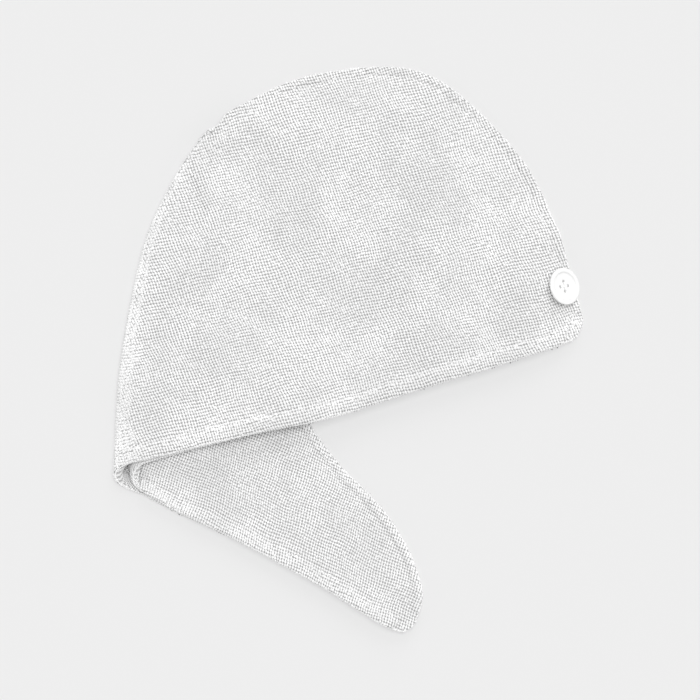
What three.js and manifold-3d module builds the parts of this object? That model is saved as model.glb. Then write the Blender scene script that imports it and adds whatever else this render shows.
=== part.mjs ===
// Hair turban towel lying flat, millimetres, +Z up.
// Two terry panels are sewn together along the nape, the crown and the tail, and stay open along the
// mouth. The tail is folded under the hood at the left and comes out below the mouth.
import * as THREE from 'three';
import { mergeVertices } from 'three/addons/utils/BufferGeometryUtils.js';
import Module from 'manifold-3d';

const wasm = await Module();
wasm.setup();

// Hood and tail seen from above
const hoodLength = 362;        // mouth, from the fold corner to the nape corner
const crownHeight = 245;       // from the line of the mouth to the top of the crown
const mouthSlope = 16.3;       // degrees, rise of the mouth towards the nape
const tailLength = 246;        // from the fold corner to the tip
const tailWidth = 102;         // across the tail where it leaves the hood
const tailSlope = 29;          // degrees, fall of the tail's hem towards the tip

// Terry and its edges
const clothThickness = 2.4;
const hemThickness = 4.6;      // two plies
const hemEdgeThickness = 3.2;  // rounded edge of the turned hem
const hemStitchThickness = 2.6; // pulled in by the hem stitch
const hemWidth = 12;
const rimThickness = 3.2;      // each panel with its half of the seam allowance
const rimEdgeThickness = 2;
const rimStitchThickness = 1.9;
const rimWidth = 6;

// Space between the layers
const layerGap = 0.7;          // between the panels where they are sewn together
const restGap = 0.4;           // between the hood and the tail that it lies on
const foldGap = 3;             // between the hood and the tail, inside the fold
const hoodHollow = 11.5;       // room for the head between the panels
const mouthHollow = 8;         // the same at the mouth
const tailHollow = 2.2;
const hollowRise = 25;         // distance over which the hollow opens from a seam
const foldRise = 80;           // the same from the fold
const tailRest = 6;            // ledge of the hood beside the tail's edge
const tailDrop = 30;           // width over which the hood comes down beside the tail
const foldLean = 85;           // degrees, direction of the fold at the hem
const foldLeanTop = 73;        // the same at the top
const hemShift = 19;           // how far the hem runs down the fold as it turns round it
const seamShift = 26;          // the same for the seam at the top of the fold

// Button, its thread and the elastic loop
const buttonDiameter = 28;
const buttonEdge = 2;
const buttonThickness = 3.6;
const buttonBack = 12;         // diameter of the flat back
const wellDiameter = 21;
const wellDepth = 1;
const holeDiameter = 1.9;
const holeCircle = 7.4;
const holeTurn = 9;            // degrees, from the button's level diameter
const buttonTilt = 38;         // degrees
const buttonLean = 14;         // degrees, direction in which the button leans down
const buttonInset = 6.8;       // of its face's centre, from the nape edge
const buttonShare = 0.503;     // of the nape edge, from the corner
const shankDiameter = 4.6;
const threadDiameter = 1.1;
const pieceGap = 0.3;
const loopLength = 46;
const loopWidth = 16;
const loopBand = 3.4;
const loopThickness = 1.4;
const loopInset = 12;          // from the tip to the sewn end of the loop
const loopClear = 14;          // width over which the tail comes down beside the loop

// Grid
const hoodColumns = 34;
const foldColumns = 8;
const tailColumns = 22;
const bodyRows = 10;

// Outline. Lengths are shares: of the hood's mouth and crown, or of the tail's length and width.
const napeTable = [
  { along: 0.995, up: 0.008 },
  { along: 1.013, up: 0.042 },
  { along: 1.016, up: 0.102 },
  { along: 1.019, up: 0.327 },
];
const crownTable = [
  { along: 1.019, up: 0.327 },
  { along: 0.992, up: 0.549 },
  { along: 0.914, up: 0.771 },
  { along: 0.777, up: 0.952 },
  { along: 0.588, up: 1.0 },
  { along: 0.464, up: 0.971 },
  { along: 0.414, up: 0.947 },
];
const mouthTable = [
  { along: 0.995, up: 0.008 },
  { along: 0.98, up: -0.001 },
  { along: 0.869, up: -0.01 },
  { along: 0.655, up: -0.014 },
  { along: 0.461, up: -0.021 },
  { along: 0.287, up: 0.0 },
  { along: 0.18, up: 0.008 },
  { along: 0.095, up: 0.013 },
];
const foldTable = [
  { along: -0.005, up: -0.003 },
  { along: 0.011, up: 0.068 },
  { along: 0.063, up: 0.285 },
  { along: 0.134, up: 0.503 },
  { along: 0.199, up: 0.667 },
  { along: 0.286, up: 0.811 },
  { along: 0.35, up: 0.898 },
];
const tailSeamTable = [
  { along: 0.113, out: 1.615 },
  { along: 0.442, out: 1.003 },
  { along: 0.591, out: 0.857 },
  { along: 0.764, out: 0.71 },
  { along: 0.905, out: 0.52 },
  { along: 0.977, out: 0.365 },
];
const tipTable = [
  { along: 1.0, out: 0.0 },
  { along: 1.014, out: 0.077 },
  { along: 1.001, out: 0.27 },
  { along: 0.977, out: 0.365 },
];
const tailHemTable = [
  { along: 0.201, out: -0.042 },
  { along: 0.416, out: -0.007 },
  { along: 0.704, out: 0.0 },
  { along: 0.954, out: -0.026 },
  { along: 1.0, out: 0.0 },
];
// Soft folds of the upper panel: centre and size as shares of the mouth, lift as a share of the hollow
const softFolds = [
  { along: 0.93, up: 0.5, length: 0.12, width: 0.03, turn: 115, lift: 0.16 },
  { along: 0.9, up: 0.2, length: 0.09, width: 0.04, turn: 60, lift: -0.12 },
  { along: 0.6, up: 0.45, length: 0.28, width: 0.07, turn: 160, lift: 0.1 },
  { along: 0.33, up: 0.3, length: 0.22, width: 0.06, turn: 75, lift: -0.09 },
];

const radians = THREE.MathUtils.degToRad;
const smooth = (x) => THREE.MathUtils.smoothstep(x, 0, 1);
const { lerp } = THREE.MathUtils;

function direction(degrees) {
  return new THREE.Vector3(Math.cos(radians(degrees)), Math.sin(radians(degrees)), 0);
}

function leftOf(vector) {
  return new THREE.Vector3(-vector.y, vector.x, 0);
}

function planPoint(along, across, slope) {
  const ahead = direction(slope);
  return ahead.clone().multiplyScalar(along).addScaledVector(leftOf(ahead), across);
}

function hoodPoint({ along, up }) {
  return planPoint(along * hoodLength, up * crownHeight, mouthSlope);
}

function tailPoint({ along, out }) {
  return planPoint(along * tailLength, out * tailWidth, -tailSlope);
}

function curveThrough(points) {
  return new THREE.CatmullRomCurve3(points, false, 'centripetal');
}

// Thickness of a panel at a distance from its hem and from its seam
function profile(distance, stations) {
  const next = stations.findIndex((station) => station.at >= distance);
  if (next < 0) return clothThickness;
  if (next === 0) return stations[0].thick;
  const [from, to] = [stations[next - 1], stations[next]];
  return lerp(from.thick, to.thick, (distance - from.at) / (to.at - from.at));
}

const hemProfile = [
  { at: 0, thick: hemEdgeThickness },
  { at: hemWidth * 0.2, thick: hemThickness },
  { at: hemWidth * 0.8, thick: hemThickness },
  { at: hemWidth, thick: hemStitchThickness },
  { at: hemWidth * 1.25, thick: clothThickness },
];
const rimProfile = [
  { at: 0, thick: rimEdgeThickness },
  { at: rimWidth / 2, thick: rimThickness },
  { at: rimWidth, thick: rimStitchThickness },
  { at: rimWidth * 1.5, thick: clothThickness },
];

function panelThickness(fromHem, fromSeam) {
  const hem = profile(fromHem, hemProfile);
  const rim = profile(fromSeam, rimProfile);
  if (fromHem > hemWidth * 1.25) return rim;
  if (fromSeam > rimWidth * 1.5) return hem;
  return Math.min(hem, Math.max(rim, clothThickness * 1.3));
}

// The fold: its outline, the line along which the hood starts to turn, and that of the tail
const foldOutline = curveThrough(foldTable.map(hoodPoint));
const foldLength = foldOutline.getLength();

// Half the height of the folded stack, thicker at the hem and at the seam
function foldReach(share) {
  const hem = 1 - smooth((share * foldLength - hemWidth / 2) / (2 * hemWidth));
  const rim = 1 - smooth(((1 - share) * foldLength) / (4 * rimWidth));
  const extra = (hemThickness - clothThickness) * hem + (rimThickness - clothThickness) * rim;
  return 2 * (clothThickness + extra) + layerGap + foldGap / 2;
}

function foldFrame(share) {
  const ahead = direction(lerp(foldLean, foldLeanTop, share));
  return { ahead, outward: leftOf(ahead) };
}

function foldStart(share, side) {
  const { ahead, outward } = foldFrame(share);
  const shift = lerp(hemShift, seamShift, share) / 2;
  return foldOutline.getPointAt(share)
    .addScaledVector(outward, -foldReach(share))
    .addScaledVector(ahead, side * shift);
}

const hoodStart = (share) => foldStart(share, 1);
const tailStart = (share) => foldStart(share, -1);

const nape = curveThrough(napeTable.map(hoodPoint));
const crown = curveThrough([...crownTable.map(hoodPoint), hoodStart(1)]);
const mouth = curveThrough([...mouthTable.map(hoodPoint), hoodStart(0)]);
const tailSeam = curveThrough([tailStart(1), ...tailSeamTable.map(tailPoint)]);
const tailHem = curveThrough([tailStart(0), ...tailHemTable.map(tailPoint)]);
const tip = curveThrough(tipTable.map(tailPoint));

// A patch spanned by four boundary curves, with a along the hem and b from the hem to the seam
function patch(lower, upper, first, last) {
  return (a, b) => {
    const point = lower(a).multiplyScalar(1 - b).addScaledVector(upper(a), b);
    point.addScaledVector(first(b), 1 - a).addScaledVector(last(b), a);
    point.addScaledVector(lower(0), -(1 - a) * (1 - b)).addScaledVector(lower(1), -a * (1 - b));
    return point.addScaledVector(upper(0), -(1 - a) * b).addScaledVector(upper(1), -a * b);
  };
}

const along = (curve) => (share) => curve.getPointAt(share);
const hoodPlan = patch(along(mouth), along(crown), along(nape), hoodStart);
const tailPlan = patch(along(tailHem), along(tailSeam), tailStart, along(tip));

// Distances in the plan
function sample(curve, count = 48) {
  return Array.from({ length: count + 1 }, (_, k) => curve.getPointAt(k / count).setZ(0));
}

function distanceTo(line, point) {
  let nearest = Infinity;
  const on = new THREE.Vector3();
  const segment = new THREE.Line3();
  for (let k = 1; k < line.length; k += 1) {
    segment.set(line[k - 1], line[k]).closestPointToPoint(point, true, on);
    nearest = Math.min(nearest, on.distanceTo(point));
  }
  return nearest;
}

const foldLine = Array.from({ length: 25 }, (_, k) => foldStart(k / 24, 0));
const hoodStartLine = foldLine.map((_, k) => hoodStart(k / 24));
const hoodSeamLine = [...sample(nape), ...sample(crown)];
const mouthLine = sample(mouth);
const tailSeamLine = [...sample(tailSeam), ...sample(tip).reverse()];
const tailHemLine = sample(tailHem);
const hoodOutline = [...mouthLine, ...hoodStartLine, ...sample(crown).reverse(), ...sample(nape).reverse()];
const supportOutline = [
  ...tailHemLine, ...sample(tip), ...sample(tailSeam).reverse(), ...hoodStartLine.toReversed(),
];

function isInside(outline, point) {
  let inside = false;
  outline.forEach((corner, k) => {
    const other = outline[(k + 1) % outline.length];
    if (corner.y > point.y !== other.y > point.y) {
      const share = (point.y - corner.y) / (other.y - corner.y);
      if (point.x < lerp(corner.x, other.x, share)) inside = !inside;
    }
  });
  return inside;
}

const seamOpening = (fromSeam) => 1 - Math.exp(-Math.max(0, fromSeam - rimWidth) / hollowRise);

// The elastic loop lies under the tail's tip, in line with it
const loopAxis = direction(-tailSlope - 8);
const loopEnd = tip.getPointAt(0.35).addScaledVector(loopAxis, -loopInset);
const loopMiddle = loopEnd.clone().addScaledVector(loopAxis, -loopLength / 2);

function loopLift(point) {
  const offset = point.clone().sub(loopMiddle);
  const ahead = Math.abs(offset.dot(loopAxis)) - loopLength / 2;
  const across = Math.abs(offset.dot(leftOf(loopAxis))) - loopWidth / 2;
  const away = Math.hypot(Math.max(0, ahead), Math.max(0, across));
  return (loopThickness + 2 * pieceGap) * (1 - smooth((away - rimWidth) / loopClear));
}

// Heights of the four surfaces of the tail, from the floor up
function tailLevels(point) {
  const fromSeam = distanceTo(tailSeamLine, point);
  const thick = panelThickness(distanceTo(tailHemLine, point), fromSeam);
  const fromFold = distanceTo(foldLine, point);
  const room = tailHollow * seamOpening(fromSeam) * smooth(fromFold / foldRise);
  const under = loopLift(point);
  const over = under + thick + layerGap + room;
  return { outerFace: under, outerBack: under + thick, innerBack: over, innerFace: over + thick };
}

// What the hood lies on: the tail, then the floor
function supportLevel(point) {
  const reach = isInside(supportOutline, point) ? 0 : distanceTo(supportOutline, point);
  if (reach > tailRest + tailDrop) return 0;
  const ring = [0, 60, 120, 180, 240, 300].map((turn) => direction(turn).multiplyScalar(rimWidth / 2));
  const tops = ring.map((step) => tailLevels(point.clone().add(step)).innerFace);
  const top = Math.max(...tops) + restGap;
  const nearFold = Math.exp(-distanceTo(foldLine, point) / (hemWidth * 1.5));
  return (top + (foldGap - restGap) * nearFold) * (1 - smooth((reach - tailRest) / tailDrop));
}

function softFoldLift(point) {
  return softFolds.reduce((sum, fold) => {
    const offset = point.clone().sub(hoodPoint(fold));
    const ridge = direction(fold.turn);
    const ahead = offset.dot(ridge) / (fold.length * hoodLength);
    const across = offset.dot(leftOf(ridge)) / (fold.width * hoodLength);
    return sum + fold.lift * Math.exp(-ahead * ahead - across * across);
  }, 0);
}

function hoodLevels(point) {
  const fromHem = distanceTo(mouthLine, point);
  const fromSeam = distanceTo(hoodSeamLine, point);
  const thick = panelThickness(fromHem, fromSeam);
  const room = lerp(mouthHollow, hoodHollow, 1 - Math.exp(-fromHem / hollowRise / 2));
  const opening = seamOpening(fromSeam) * smooth(distanceTo(foldLine, point) / foldRise);
  const under = supportLevel(point);
  const over = under + thick + layerGap + room * opening * (1 + softFoldLift(point));
  return { innerFace: under, innerBack: under + thick, outerBack: over, outerFace: over + thick };
}

// Rows of the grid lie at set distances from the hem and from the seam
const hemRows = hemProfile.map((station) => station.at);
const rimRows = rimProfile.map((station) => station.at).reverse();

function rowShares(length) {
  const lower = hemRows.map((at) => at / length);
  const upper = rimRows.map((at) => 1 - at / length);
  const [start, end] = [lower.at(-1), upper[0]];
  const body = Array.from({ length: bodyRows - 1 }, (_, k) => lerp(start, end, (k + 1) / bodyRows));
  return [...lower, ...body, ...upper];
}

function columnShares(count, length, rimFirst) {
  const rim = rimProfile.slice(0, -1).map((station) => station.at / length);
  const rest = Array.from({ length: count + 1 }, (_, k) => lerp(rimProfile.at(-1).at / length, 1, k / count));
  const shares = [...rim, ...rest];
  return rimFirst ? shares : shares.map((share) => 1 - share).reverse();
}

function column(plan, levels, share) {
  const length = plan(share, 0).distanceTo(plan(share, 1));
  return rowShares(length).map((row) => {
    const point = plan(share, row);
    return { point, row, ...levels(point) };
  });
}

// Between the hood and the tail each surface turns through half a circle
function foldColumn(from, to, turn) {
  return from.map((hood, k) => {
    const tail = to[k];
    const share = lerp(hood.row, tail.row, 0.5);
    const { outward } = foldFrame(share);
    const reach = foldReach(share);
    const full = (hood.outerFace - tail.outerFace) / 2;
    const surface = (name) => {
      const radius = (hood[name] - tail[name]) / 2;
      const point = hood.point.clone().lerp(tail.point, turn / Math.PI);
      point.addScaledVector(outward, (reach * radius / full) * Math.sin(turn));
      return point.setZ((hood[name] + tail[name]) / 2 + radius * Math.cos(turn));
    };
    return Object.fromEntries(['outerFace', 'outerBack', 'innerBack', 'innerFace'].map(
      (name) => [name, surface(name)],
    ));
  });
}

function raised(cells) {
  return cells.map(({ point, ...levels }) => Object.fromEntries(
    ['outerFace', 'outerBack', 'innerBack', 'innerFace'].map((name) => [name, point.clone().setZ(levels[name])]),
  ));
}

const hoodCells = columnShares(hoodColumns, mouth.getLength(), true).map(
  (share) => column(hoodPlan, hoodLevels, share),
);
const tailCells = columnShares(tailColumns, tailHem.getLength(), false).map(
  (share) => column(tailPlan, tailLevels, share),
);
const turns = Array.from({ length: foldColumns - 1 }, (_, k) => (Math.PI * (k + 1)) / foldColumns);
const grid = [
  ...hoodCells.map(raised),
  ...turns.map((turn) => foldColumn(hoodCells.at(-1), tailCells[0], turn)),
  ...tailCells.map(raised),
];

// One closed shell between two surfaces of the grid
function shell(face, back) {
  const columns = grid.length;
  const rows = grid[0].length;
  const positions = [];
  for (const name of [face, back]) {
    for (const cells of grid) cells.forEach((cell) => positions.push(...cell[name].toArray()));
  }
  const at = (side, i, j) => side * columns * rows + i * rows + j;
  const indices = [];
  const quad = (p, q, r, s) => indices.push(p, q, r, p, r, s);
  for (let i = 0; i < columns - 1; i += 1) {
    for (let j = 0; j < rows - 1; j += 1) {
      quad(at(0, i, j), at(0, i, j + 1), at(0, i + 1, j + 1), at(0, i + 1, j));
      quad(at(1, i, j), at(1, i + 1, j), at(1, i + 1, j + 1), at(1, i, j + 1));
    }
    quad(at(0, i, 0), at(0, i + 1, 0), at(1, i + 1, 0), at(1, i, 0));
    quad(at(0, i, rows - 1), at(1, i, rows - 1), at(1, i + 1, rows - 1), at(0, i + 1, rows - 1));
  }
  for (let j = 0; j < rows - 1; j += 1) {
    quad(at(0, 0, j), at(1, 0, j), at(1, 0, j + 1), at(0, 0, j + 1));
    quad(at(0, columns - 1, j), at(0, columns - 1, j + 1), at(1, columns - 1, j + 1), at(1, columns - 1, j));
  }
  const geometry = new THREE.BufferGeometry();
  geometry.setAttribute('position', new THREE.Float32BufferAttribute(positions, 3));
  geometry.setIndex(indices);
  return facingOut(geometry);
}

function facingOut(geometry) {
  const position = geometry.getAttribute('position');
  const index = geometry.getIndex();
  const corner = (k) => new THREE.Vector3().fromBufferAttribute(position, index.getX(k));
  let volume = 0;
  for (let k = 0; k < index.count; k += 3) {
    volume += corner(k).dot(corner(k + 1).cross(corner(k + 2)));
  }
  if (volume < 0) {
    for (let k = 0; k < index.count; k += 3) {
      const [second, third] = [index.getX(k + 1), index.getX(k + 2)];
      index.setX(k + 1, third);
      index.setX(k + 2, second);
    }
  }
  geometry.computeVertexNormals();
  return geometry;
}

// Solids for joining and cutting
function toSolid(geometry) {
  const bare = geometry.clone();
  bare.deleteAttribute('normal');
  bare.deleteAttribute('uv');
  const merged = mergeVertices(bare);
  return new wasm.Manifold(new wasm.Mesh({
    numProp: 3,
    vertProperties: new Float32Array(merged.getAttribute('position').array),
    triVerts: new Uint32Array(merged.getIndex().array),
  }));
}

function toGeometry(solid) {
  const { vertProperties, triVerts } = solid.getMesh();
  const geometry = new THREE.BufferGeometry();
  geometry.setAttribute('position', new THREE.Float32BufferAttribute(vertProperties, 3));
  geometry.setIndex(Array.from(triVerts));
  geometry.computeVertexNormals();
  return geometry;
}

function rod(diameter, height, sides, topDiameter = diameter) {
  return new THREE.CylinderGeometry(topDiameter / 2, diameter / 2, height, sides).rotateX(Math.PI / 2);
}

const holePlaces = [0, 90, 180, 270].map(
  (turn) => direction(holeTurn + turn).multiplyScalar(holeCircle / 2),
);

// The button's back is on its local plane z = 0 and its rim on z = buttonThickness
function buttonGeometry() {
  const [outer, well] = [buttonDiameter / 2, wellDiameter / 2];
  const top = buttonThickness;
  const outline = [
    [0, 0],
    [buttonBack / 2, 0],
    [outer - buttonEdge / 4, top - buttonEdge],
    [outer, top - buttonEdge * 0.75],
    [outer, top - buttonEdge / 4],
    [outer - buttonEdge / 4, top],
    [well + wellDepth / 2, top],
    [well - wellDepth / 2, top - wellDepth],
    [0, top - wellDepth],
  ].map(([radius, height]) => new THREE.Vector2(radius, height));
  let disc = toSolid(new THREE.LatheGeometry(outline, 32).rotateX(Math.PI / 2));
  for (const place of holePlaces) {
    const hole = rod(holeDiameter, 3 * top, 12).translate(place.x, place.y, 0);
    disc = disc.subtract(toSolid(hole));
  }
  return toGeometry(disc);
}

// Thread crossing the well, four legs through the holes and the wound shank below
function threadGeometry(shankLength) {
  const wellTop = buttonThickness - wellDepth;
  const crossHeight = wellTop + pieceGap + threadDiameter / 2;
  const shankTop = -pieceGap;
  const neck = rod(holeCircle + threadDiameter, threadDiameter, 16).translate(0, 0, shankTop - threadDiameter / 2);
  const shankHeight = shankLength - pieceGap;
  const shank = rod(shankDiameter, shankHeight, 16).translate(0, 0, shankTop - shankHeight / 2);
  let thread = toSolid(neck).add(toSolid(shank));
  holePlaces.forEach((place, k) => {
    const legHeight = crossHeight - shankTop + threadDiameter / 2;
    const leg = rod(threadDiameter, legHeight, 8)
      .translate(place.x, place.y, crossHeight - legHeight / 2 + threadDiameter / 4);
    thread = thread.add(toSolid(leg));
    if (k > 1) return;
    const bar = rod(threadDiameter, holeCircle, 8).rotateX(Math.PI / 2)
      .rotateZ(Math.atan2(place.y, place.x) - Math.PI / 2)
      .translate(0, 0, crossHeight);
    thread = thread.add(toSolid(bar));
  });
  return toGeometry(thread);
}

// Flat loop: a drop shape round two circles, small at the sewn end and wide at the free end
function loopGeometry() {
  const [small, large] = [loopBand + pieceGap, loopWidth / 2];
  const span = loopLength - small - large;
  const tangent = Math.acos((small - large) / span);
  const drop = (path, inset) => {
    path.absarc(small + span, 0, large - inset, -tangent, tangent, false);
    path.absarc(small, 0, small - inset, tangent, 2 * Math.PI - tangent, false);
    path.closePath();
    return path;
  };
  const outline = drop(new THREE.Shape(), 0);
  outline.holes.push(drop(new THREE.Path(), loopBand));
  return new THREE.ExtrudeGeometry(outline, { depth: loopThickness, bevelEnabled: false, curveSegments: 10 });
}

function material(color, roughness) {
  return new THREE.MeshStandardMaterial({ color, roughness, metalness: 0 });
}

const terry = material(0xf4f4f4, 0.95);
const terryUnder = material(0xeeeeee, 0.95);

function named(name, geometry, finish) {
  const mesh = new THREE.Mesh(geometry, finish);
  mesh.name = name;
  return mesh;
}

const turban = new THREE.Group();
turban.add(named('outer_panel', shell('outerFace', 'outerBack'), terry));
turban.add(named('inner_panel', shell('innerFace', 'innerBack'), terryUnder));

// The button leans over the nape edge: its rim rests on the cloth and its shank reaches down to it
const turned = new THREE.Quaternion().setFromUnitVectors(
  new THREE.Vector3(0, 0, 1),
  direction(buttonLean).multiplyScalar(Math.sin(radians(buttonTilt))).setZ(Math.cos(radians(buttonTilt))),
);

function ring(radius, height, count = 36) {
  return Array.from({ length: count }, (_, k) => (
    direction((360 * k) / count).multiplyScalar(radius).setZ(height).applyQuaternion(turned)
  ));
}

function heightAbove(points, place) {
  const spaces = points.map((offset) => {
    const point = offset.clone().add(place);
    return point.z - (isInside(hoodOutline, point) ? hoodLevels(point.clone().setZ(0)).outerFace : 0);
  });
  return Math.min(...spaces);
}

const napeAhead = nape.getTangentAt(buttonShare).setZ(0).normalize();
const axis = new THREE.Vector3(0, 0, 1).applyQuaternion(turned);
const buttonPlace = nape.getPointAt(buttonShare).addScaledVector(leftOf(napeAhead), buttonInset)
  .addScaledVector(axis, -buttonThickness).setZ(0);
const underside = [0, 0.25, 0.5, 0.75, 1].flatMap((share) => (
  ring(lerp(buttonBack, buttonDiameter, share) / 2, share * (buttonThickness - buttonEdge))
));
buttonPlace.z = pieceGap - heightAbove(underside, buttonPlace);
let shankLength = 2 * pieceGap;
while (heightAbove(ring(shankDiameter / 2, -shankLength), buttonPlace) > pieceGap) shankLength += pieceGap / 6;

const buttonGroup = new THREE.Group();
buttonGroup.position.copy(buttonPlace);
buttonGroup.quaternion.copy(turned);
buttonGroup.add(named('button', buttonGeometry(), material(0xfbfbfb, 0.25)));
buttonGroup.add(named('button_thread', threadGeometry(shankLength), material(0xf2f2f2, 0.8)));
turban.add(buttonGroup);

const loop = named('elastic_loop', loopGeometry(), material(0xf0f0f0, 0.7));
loop.position.copy(loopEnd).setZ(pieceGap);
loop.rotation.z = Math.atan2(-loopAxis.y, -loopAxis.x);
turban.add(loop);

// The origin is on the floor, below the middle of the outline
const extent = new THREE.Box3().setFromObject(turban, true);
const middle = extent.getCenter(new THREE.Vector3());
turban.position.set(-middle.x, -middle.y, -extent.min.z);
turban.updateMatrixWorld(true);

export default turban;
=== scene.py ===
import math

import bmesh
import bpy
import numpy as np
from bpy.props import FloatProperty, FloatVectorProperty, IntProperty, PointerProperty
from mathutils import Matrix, Vector
from mathutils.bvhtree import BVHTree


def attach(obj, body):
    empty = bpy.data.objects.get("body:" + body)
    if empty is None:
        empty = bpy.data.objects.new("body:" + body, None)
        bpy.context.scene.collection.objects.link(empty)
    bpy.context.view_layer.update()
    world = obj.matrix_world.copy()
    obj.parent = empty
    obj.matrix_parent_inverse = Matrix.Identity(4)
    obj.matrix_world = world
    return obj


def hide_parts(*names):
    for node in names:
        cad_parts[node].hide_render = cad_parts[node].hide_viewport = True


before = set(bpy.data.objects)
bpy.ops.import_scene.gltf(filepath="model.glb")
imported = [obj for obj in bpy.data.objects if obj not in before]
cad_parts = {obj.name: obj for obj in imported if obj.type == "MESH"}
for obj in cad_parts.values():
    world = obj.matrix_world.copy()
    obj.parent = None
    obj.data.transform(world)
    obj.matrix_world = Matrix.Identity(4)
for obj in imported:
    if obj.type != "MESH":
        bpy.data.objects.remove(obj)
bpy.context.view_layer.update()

bl_info = {
    "name": "Hair turban towel",
    "version": (1, 0, 0),
    "blender": (4, 5, 0),
    "location": "3D View > Sidebar > Turban",
    "description": "Builds a terry hair turban towel with its button, thread and elastic loop",
    "category": "Add Mesh",
}

MM = 0.001
BATCH = 8000  # points compared with a line at a time

# Outline in the plan. Lengths are shares: of the hood's mouth and crown, or of the tail's length and width
NAPE = [(0.995, 0.008), (1.013, 0.042), (1.016, 0.102), (1.019, 0.327)]
CROWN = [
    (1.019, 0.327), (0.992, 0.549), (0.918, 0.775), (0.853, 0.8965), (0.778, 0.957),
    (0.588, 1.0), (0.464, 0.973), (0.43, 0.961),
]
MOUTH = [
    (0.995, 0.008), (0.98, -0.001), (0.869, -0.01), (0.655, -0.014),
    (0.461, -0.021), (0.287, 0.0), (0.18, 0.008), (0.095, 0.013),
]
FOLD = [
    (-0.005, -0.003), (0.011, 0.068), (0.063, 0.285), (0.134, 0.503),
    (0.199, 0.667), (0.286, 0.809), (0.353, 0.893),
]
TAIL_SEAM = [(0.113, 1.615), (0.442, 1.003), (0.583, 0.8465), (0.764, 0.71), (0.905, 0.52), (0.977, 0.365)]
TIP = [(1.0, 0.0), (1.014, 0.077), (1.001, 0.27), (0.977, 0.365)]
TAIL_HEM = [(0.201, -0.042), (0.416, -0.007), (0.704, 0.0), (0.954, -0.026), (1.0, 0.0)]

# Soft folds of the upper panel: centre, length and width as shares of the hood, turn in degrees, lift as a
# share of the hollow
SOFT_FOLDS = [
    (0.93, 0.5, 0.12, 0.03, 115, 0.16),
    (0.9, 0.2, 0.09, 0.04, 60, -0.12),
    (0.6, 0.45, 0.28, 0.07, 160, 0.1),
    (0.33, 0.3, 0.22, 0.06, 75, -0.09),
]
# Creases drawn to the button and beside the crown: the same columns, with lift in millimetres
CREASES = [
    (0.985, 0.3, 0.05, 0.012, 127, 1.3),
    (0.955, 0.27, 0.045, 0.012, 122, -0.8),
    (1.0, 0.4, 0.035, 0.009, 112, 0.7),
    (0.95, 0.42, 0.07, 0.014, 150, 0.6),
    (0.93, 0.19, 0.06, 0.013, 35, 0.7),
    (0.945, 0.13, 0.05, 0.012, 20, -0.6),
    (0.985, 0.09, 0.03, 0.01, 75, 0.6),
]
# Waves of the laid cloth: length in millimetres, direction in degrees, phase, height in millimetres
WAVES = [
    (83, 20, 0.4, 0.5), (57, 75, 2.1, 0.35), (41, 130, 4.4, 0.25), (31, 50, 1.3, 0.16), (23, 160, 5.2, 0.1),
    (19, 95, 3.3, 0.07),
]


def direction(degrees):
    turn = np.radians(degrees)
    return np.stack([np.cos(turn), np.sin(turn)], axis=-1)


def left_of(vectors):
    return np.stack([-vectors[..., 1], vectors[..., 0]], axis=-1)


def smooth(x):
    x = np.clip(x, 0, 1)
    return x * x * (3 - 2 * x)


def lerp(a, b, share):
    return a + (b - a) * share


def bell(x, middle, width):
    """1 at the middle, falling off over a width on both sides."""
    return np.exp(-((x - middle) / width) ** 2)


def unit(vectors):
    return vectors / np.linalg.norm(vectors, axis=-1, keepdims=True)


def run_of(points):
    """Length along a line of points, counted from its start."""
    return np.concatenate([[0], np.cumsum(np.linalg.norm(np.diff(points, axis=0), axis=1))])


def read_at(places, run, values):
    """Values known along a run, read at places of it."""
    return np.stack([np.interp(places, run, column) for column in values.T], axis=-1)


def raised(plan, heights):
    return np.concatenate([plan, heights[..., None]], axis=-1)


class Line:
    """A smooth line through points of the plan, read by its share of length."""

    def __init__(self, points, steps=48):
        points = np.asarray(points, float)
        spread = np.vstack([2 * points[0] - points[1], points, 2 * points[-1] - points[-2]])
        share = np.linspace(0, 1, steps, endpoint=False)[:, None]
        drawn = []
        for k in range(len(points) - 1):
            p0, p1, p2, p3 = spread[k:k + 4]
            d0, d1, d2 = (math.sqrt(np.linalg.norm(b - a)) for a, b in ((p0, p1), (p1, p2), (p2, p3)))
            start = ((p1 - p0) / d0 - (p2 - p0) / (d0 + d1) + (p2 - p1) / d1) * d1
            end = ((p2 - p1) / d1 - (p3 - p1) / (d1 + d2) + (p3 - p2) / d2) * d1
            square, cube = share ** 2, share ** 3
            drawn.append(
                (2 * cube - 3 * square + 1) * p1 + (cube - 2 * square + share) * start
                + (3 * square - 2 * cube) * p2 + (cube - square) * end
            )
        self.points = np.vstack([*drawn, points[-1:]])
        self.run = run_of(self.points)
        self.length = self.run[-1]

    def at(self, share):
        return read_at(np.asarray(share, float) * self.length, self.run, self.points)

    def sampled(self, count=60):
        return self.at(np.linspace(0, 1, count + 1))


def distance_to(line, points):
    """Distance of each point of the plan to a line of short straight pieces."""
    flat = points.reshape(-1, 2)
    start, along = line[:-1], np.diff(line, axis=0)
    square = np.maximum((along ** 2).sum(axis=1), 1e-18)
    found = np.empty(len(flat))
    for k in range(0, len(flat), BATCH):
        offset = flat[k:k + BATCH, None] - start
        share = np.clip((offset * along).sum(axis=2) / square, 0, 1)
        found[k:k + BATCH] = np.linalg.norm(offset - share[..., None] * along, axis=2).min(axis=1)
    return found.reshape(points.shape[:-1])


def is_inside(outline, points):
    flat = points.reshape(-1, 2)
    inside = np.zeros(len(flat), bool)
    for (x0, y0), (x1, y1) in zip(outline, np.roll(outline, -1, axis=0)):
        if y0 == y1:
            continue
        crossed = (y0 > flat[:, 1]) != (y1 > flat[:, 1])
        inside ^= crossed & (flat[:, 0] < lerp(x0, x1, (flat[:, 1] - y0) / (y1 - y0)))
    return inside.reshape(points.shape[:-1])


# Sizes and colours

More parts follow.
